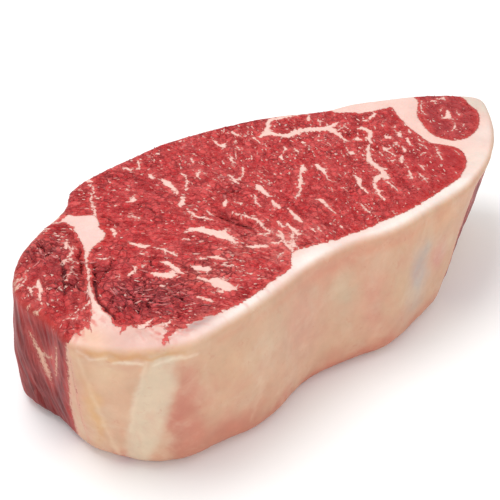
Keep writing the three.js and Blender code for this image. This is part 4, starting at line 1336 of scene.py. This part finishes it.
# Lean that lies in the fat, on the cut face by x, y and width, and on the side of the tail by
# station, height and width.
fat_islands = [
    [(-77.6, 31.6, 0.8), (-73, 34, 2.8), (-68.6, 36.6, 5)],
    [(-103, -16.5, 2.2), (-97.5, -16.5, 2)],
    [(-95.5, -14, 1), (-98, -17.5, 2), (-100.5, -20, 0.8)],
    [(-103.5, -20, 1.8), (-99.5, -21, 2.4), (-100.5, -24, 1)],
    [(-106, -17, 0.8), (-105, -21, 1.2), (-103.5, -24.5, 0.5)],
    [(-90.5, -45.5, 0.6), (-87.5, -43.3, 1.8), (-84, -41, 2.2), (-80, -39.4, 2.5)],
    [(-95, -31.5, 0.4), (-92, -30, 1.2)],
]
side_lean = [
    [(201, 49.8, 2), (193, 48.6, 5), (186, 46, 9), (181, 44, 9)],
    [(181, 45, 7), (180, 38, 12), (178, 28, 18), (176, 20, 18), (173.5, 13, 14), (172, 9, 7)],
    [(187, 43, 12), (190, 34, 18), (190, 22, 18), (190, 15, 8)],
    [(195, 42, 9), (200, 34, 13), (202, 24, 11), (198, 16, 5)],
    [(204, 40, 6), (211, 33, 8), (213, 25, 5), (211, 20, 2)],
    [(214, 38, 3), (221, 32, 4), (224, 26, 1.5)],
]
tail_seams = side_seams(176, 222, 7, 8)
fat_tints = [
    (-71, 21, 8, 12, (228, 192, 184), 0.9),
    (-92, -36, 12, 9, (214, 172, 160), 0.85),
    (-102, -27, 4, 8, (222, 178, 146), 0.6),
    (-52, -47, 22, 3, (236, 228, 222), 0.95),
    (-25, -42, 14, 5, (236, 228, 222), 0.9),
    (10, -47, 30, 4, (236, 226, 218), 0.9),
    (45, -45, 20, 4, (236, 226, 218), 0.9),
    (68, -38, 14, 8, (232, 214, 202), 0.8),
    (88, -28, 12, 6, (228, 208, 198), 0.8),
    (104, -10, 7, 16, (210, 194, 180), 0.95),
    (96, 16, 8, 8, (224, 204, 194), 0.8),
    (70, -14, 6, 12, (232, 192, 180), 0.7),
    # painted shadow: greyish fat under the overhanging front edge of the eye
    (-74, -43.2, 8, 1.9, (176, 146, 142), 0.9),
]
side_fat_tints = [
    (-3, 25, 3, 30, (208, 150, 124), 0.7),
    (4, 22, 2.5, 16, (216, 168, 112), 0.6),
    (10, 44, 3.5, 8, (224, 194, 160), 0.6),
    (10, 50, 12, 1.6, (222, 172, 122), 0.6),
    (27, 50, 8, 1.5, (222, 176, 128), 0.5),
    (30, 25, 3.6, 13, (200, 134, 114), 0.85),
    (36, 35, 3, 6, (206, 146, 126), 0.6),
    (36, 18, 5, 17, (198, 126, 106), 0.75),
    (32.5, 24, 4, 16, (190, 114, 96), 0.8),
    (49, 33, 11, 12, (212, 174, 140), 0.7),
    (50, 9, 14, 6, (196, 122, 102), 0.75),
    (68, 33, 8, 12, (212, 180, 152), 0.75),
    (85, 32, 10, 16, (210, 156, 136), 0.7),
    (104, 46, 17, 5, (214, 148, 124), 0.75),
    (105, 32, 5.5, 7, (206, 180, 152), 0.8),
    (117, 26, 5.5, 14, (210, 150, 130), 0.7),
    (131, 27, 7, 11, (208, 174, 142), 0.7),
    (148, 46, 20, 5, (222, 170, 134), 0.7),
    (140, 26, 5.5, 13, (182, 170, 166), 0.85),
    (144, 36, 3, 3, (186, 172, 164), 0.6),
    (152, 30, 4, 5, (206, 138, 128), 0.7),
    (100, 3, 75, 5, (192, 112, 92), 0.85),
    (14.5, 2, 4, 4.5, (178, 72, 64), 0.85),
]
# Bands on the side: a line of stations, heights and widths, its softness, colour and share.
side_bands = [
    ([(26.5, 46, 8), (25, 38, 11.5), (22, 26, 11), (19.5, 14, 10), (17.5, 5, 8)], 2,
     (217, 198, 172), 0.8),
    # painted highlight: a pale line along the left edge of the greenish band
    ([(21.5, 48, 0.8), (19.5, 38, 1.6), (17, 28, 1), (16, 18, 0.6)], 1, (230, 213, 188), 0.5),
    # A thin ochre line along the rim: the rim's own ochre, darkened as painted shade above the pale
    # lines under it.
    ([(3, 51, 0.5), (6, 49.4, 1.2), (11, 50.4, 0.6), (14, 48.6, 1.1), (19, 49.6, 1.6),
      (23, 48, 1), (28, 49.8, 0.8), (33, 48.8, 0.5)], 0.6, (208, 152, 100), 0.5),
    # painted highlight: three pale cream lines just under the front rim
    ([(2, 49.6, 0.4), (6, 47.4, 1), (10, 48.6, 0.5)], 0.7, (240, 224, 202), 0.6),
    ([(12, 46.6, 0.6), (16, 47.4, 1.4), (20, 46.8, 0.8)], 0.7, (240, 224, 202), 0.7),
    ([(24, 46, 0.6), (29, 47.6, 1.4), (37, 47, 0.5)], 0.7, (240, 224, 202), 0.6),
    ([(1.5, 49, 0.6), (4.5, 34, 0.9), (8, 16, 1.2), (11, 4, 2)], 1.2, (226, 198, 166), 0.6),
    ([(45, 47.5, 0.5), (70, 47, 1), (100, 46.4, 1.4), (130, 46.6, 1.2), (160, 47.4, 0.6)], 2.2,
     (216, 148, 122), 0.45),
]
FAT_CELL = 0.5
fat_material = meat_material("firm_fat", 0.45, 0.5, 0.35)
fat_piece = carve([eye_line, end_line, small_line], False, FAT_CELL)
fat_tissue = examine(
    fat_piece, islands=fat_islands, side_fat=side_fat, side_lean=side_lean, lean_seams=tail_seams)
fat_cap = finish_skin(
    "fat_cap_fat", fat_piece, fat_tissue, fat_tints=fat_tints, side_fat_tints=side_fat_tints,
    side_bands=side_bands)
fat_cap.data.materials.append(fat_material)
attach(fat_cap, "root")
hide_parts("fat_cap")

# ---- Flecks and fibres ----
# Grains of fat as fine as threads lie all through the lean, and the cut ends of the fibres stand
# a little proud of it. Both follow the grain, so both are strewn over the cut face by one rule.


def strewing(name):
    """A tree that strews small lentils over a cut face, laid along its grain."""
    tree = bpy.data.node_groups.new(name, "GeometryNodeTree")
    face = tree.interface
    for key, kind in (
            ("Geometry", "Geometry"), ("Muscles", "Collection"),
            ("Number per square metre", "Float"), ("Where", "String"), ("Least size", "Vector"),
            ("Greatest size", "Vector"), ("Turn", "Float"), ("Unevenness", "Float"),
            ("Seed", "Int"), ("Material", "Material")):
        face.new_socket(key, in_out="INPUT", socket_type="NodeSocket" + kind)
    face.new_socket("Geometry", in_out="OUTPUT", socket_type="NodeSocketGeometry")
    given = add(tree, "NodeGroupInput").outputs
    muscles = add(tree, "GeometryNodeCollectionInfo", {"Collection": given["Muscles"]})
    muscles = add(tree, "GeometryNodeRealizeInstances", {"Geometry": muscles.outputs[0]})
    where = add(tree, "GeometryNodeInputNamedAttribute", {"Name": given["Where"]},
                data_type="FLOAT")
    density = times(tree, given["Number per square metre"], where.outputs[0])
    spots = add(tree, "GeometryNodeDistributePointsOnFaces", {
        "Mesh": muscles.outputs[0], "Density": density, "Seed": given["Seed"]})
    tone = add(tree, "FunctionNodeRandomValue", {2: 0.0, 3: 1.0, "Seed": 3}, data_type="FLOAT")
    toned = add(tree, "GeometryNodeStoreNamedAttribute", {
        "Geometry": spots.outputs["Points"], "Name": "tone", "Value": tone.outputs[1]},
        data_type="FLOAT", domain="POINT")
    turn = add(tree, "GeometryNodeInputNamedAttribute", {"Name": "grain"}, data_type="FLOAT")
    swing = add(tree, "FunctionNodeRandomValue", {
        2: times(tree, given["Turn"], -1.0), 3: given["Turn"], "Seed": 5}, data_type="FLOAT")
    spin = add(tree, "ShaderNodeCombineXYZ", {
        "Z": sums(tree, "ADD", turn.outputs[0], swing.outputs[1])})
    level = add(tree, "FunctionNodeEulerToRotation", {0: spin.outputs[0]})
    lie = add(tree, "FunctionNodeAlignRotationToVector", {
        "Rotation": level.outputs[0], "Vector": spots.outputs["Normal"]}, axis="Z")
    size = add(tree, "FunctionNodeRandomValue", {
        0: given["Least size"], 1: given["Greatest size"], "Seed": 7}, data_type="FLOAT_VECTOR")
    lentil = add(tree, "GeometryNodeMeshIcoSphere", {"Radius": 1.0, "Subdivisions": 1})
    strewn = add(tree, "GeometryNodeInstanceOnPoints", {
        "Points": toned.outputs[0], "Instance": lentil.outputs["Mesh"],
        "Rotation": lie.outputs[0], "Scale": size.outputs[0]})
    real = add(tree, "GeometryNodeRealizeInstances", {"Geometry": strewn.outputs[0]})
    wave = add(tree, "ShaderNodeTexNoise", {"Scale": 900.0, "Detail": 1.0})
    centred = add(tree, "ShaderNodeVectorMath", {0: wave.outputs["Color"], 1: (0.5, 0.5, 0.5)},
                  operation="SUBTRACT")
    push = scaled(tree, centred.outputs[0], given["Unevenness"])
    level_push = add(tree, "ShaderNodeVectorMath", {0: push, 1: (1, 1, 0.15)},
                     operation="MULTIPLY")
    bent = add(tree, "GeometryNodeSetPosition", {
        "Geometry": real.outputs[0], "Offset": level_push.outputs[0]})
    soft = add(tree, "GeometryNodeSetShadeSmooth", {"Geometry": bent.outputs[0]})
    finished = add(tree, "GeometryNodeSetMaterial", {
        "Geometry": soft.outputs[0], "Material": given["Material"]})
    out = add(tree, "NodeGroupOutput")
    tree.links.new(finished.outputs[0], out.inputs[0])
    return tree


def strew(name, tree, inputs):
    """One piece of lentils strewn over the cut faces of the muscles."""
    made = bring_in(name, bpy.data.meshes.new(name))
    modifier = made.modifiers.new("strewn", "NODES")
    modifier.node_group = tree
    for item in tree.interface.items_tree:
        if item.in_out == "INPUT" and item.name in inputs:
            modifier[item.identifier] = inputs[item.name]
    bpy.context.view_layer.update()
    seen = made.evaluated_get(bpy.context.evaluated_depsgraph_get())
    plain = bpy.data.meshes.new_from_object(seen)
    made.modifiers.clear()
    made.data = plain
    plain.name = name
    return made


def lentil_material(name, low, high, gloss, lean_share):
    """Fat or lean of one even tone in each lentil, between two colours and that of the lean."""
    material = new_material(name)
    tree = material.node_tree
    own = blend(tree, carried(tree, "tone"), low, high)
    colour = blend(tree, lean_share, own, carried(tree, "lean_colour", "Color"))
    place = add(tree, "ShaderNodeTexCoord").outputs["Object"]
    moist(tree, colour, gloss, 0.25, grain(tree, place, 1500, 2, 0.6), 0.5, 0.2 * MM)
    return material


strewing_tree = strewing("strewn_along_the_grain")
fleck_material = lentil_material("fat_in_the_grain", (206, 104, 96), (234, 186, 174), 0.45, 0.0)
fibre_material = lentil_material("cut_fibres", (120, 8, 16), (206, 104, 98), 0.36, 0.6)
# The torn plates' pale end is partly painted highlight: it stands in for wet glints in the crags.
plate_and_glint_material = lentil_material("torn_fibres_and_painted_glints", (112, 16, 26), (216, 136, 132), 0.28, 0.3)
muscles = bpy.data.collections.new("muscles")
for muscle in (eye_muscle, end_muscle, small_muscle):
    muscles.objects.link(muscle)

# Each kind's name, where it lies, how many to a square metre, least and greatest half sizes in
# metres, turn from the grain, unevenness, material and slot.
strewn_things = (
    ("flecks", "flecked", 300000.0, (0.0003, 0.00015, 0.00006), (0.0012, 0.0005, 0.0001), 0.6,
     0.0016, fleck_material, "fat"),
    ("fibres", "fibred", 220000.0, (0.0004, 0.0002, 0.00006), (0.0014, 0.0004, 0.00014), 0.5,
     0.0014, fibre_material, "lean"),
    ("plates", "craggy", 160000.0, (0.0008, 0.0002, 0.0001), (0.0028, 0.0005, 0.0003), 0.6,
     0.003, plate_and_glint_material, "lean"),
)
for seed, (name, where, count, least, most, turn, bend, finish, slot) in enumerate(strewn_things):
    piece = strew("strewn_" + name, strewing_tree, {
        "Muscles": muscles, "Number per square metre": count, "Where": where,
        "Least size": least, "Greatest size": most, "Turn": turn, "Unevenness": bend,
        "Seed": seed, "Material": finish})
    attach(piece, "root")
bpy.data.collections.remove(muscles)

# ---- Table and light ----
# A plain pale floor under soft studio light: a wide softbox overhead, one in front and a
# bright room.

FLOOR = 3.0  # half its width in metres
corners = [(-FLOOR, -FLOOR, 0), (FLOOR, -FLOOR, 0), (FLOOR, FLOOR, 0), (-FLOOR, FLOOR, 0)]
floor_mesh = bpy.data.meshes.new("floor")
floor_mesh.from_pydata(corners, [], [(0, 1, 2, 3)])
floor = bring_in("floor", floor_mesh)
floor_material = bpy.data.materials.new("pale_floor")
floor_material.use_nodes = True
paint = floor_material.node_tree.nodes["Principled BSDF"]
paint.inputs["Base Color"].default_value = (0.98, 0.98, 0.98, 1)
paint.inputs["Roughness"].default_value = 0.8
paint.inputs["Specular IOR Level"].default_value = 0.1
floor_mesh.materials.append(floor_material)

room = bpy.data.worlds.new("room")
bpy.context.scene.world = room
room.use_nodes = True
room.node_tree.nodes["Background"].inputs["Color"].default_value = (1, 1, 1, 1)
room.node_tree.nodes["Background"].inputs["Strength"].default_value = 0.75


def softbox(name, place, size, power):
    """A square area light that faces the steak."""
    light = bpy.data.lights.new(name, "AREA")
    light.size = size
    light.energy = power
    aim(bring_in(name, light), place, (0, 0, 0))


softbox("overhead", (-0.15, 0.25, 0.9), 0.5, 4.5)
softbox("front", (-0.5, -0.7, 0.6), 0.5, 1.2)
bpy.context.scene.view_settings.view_transform = "Standard"
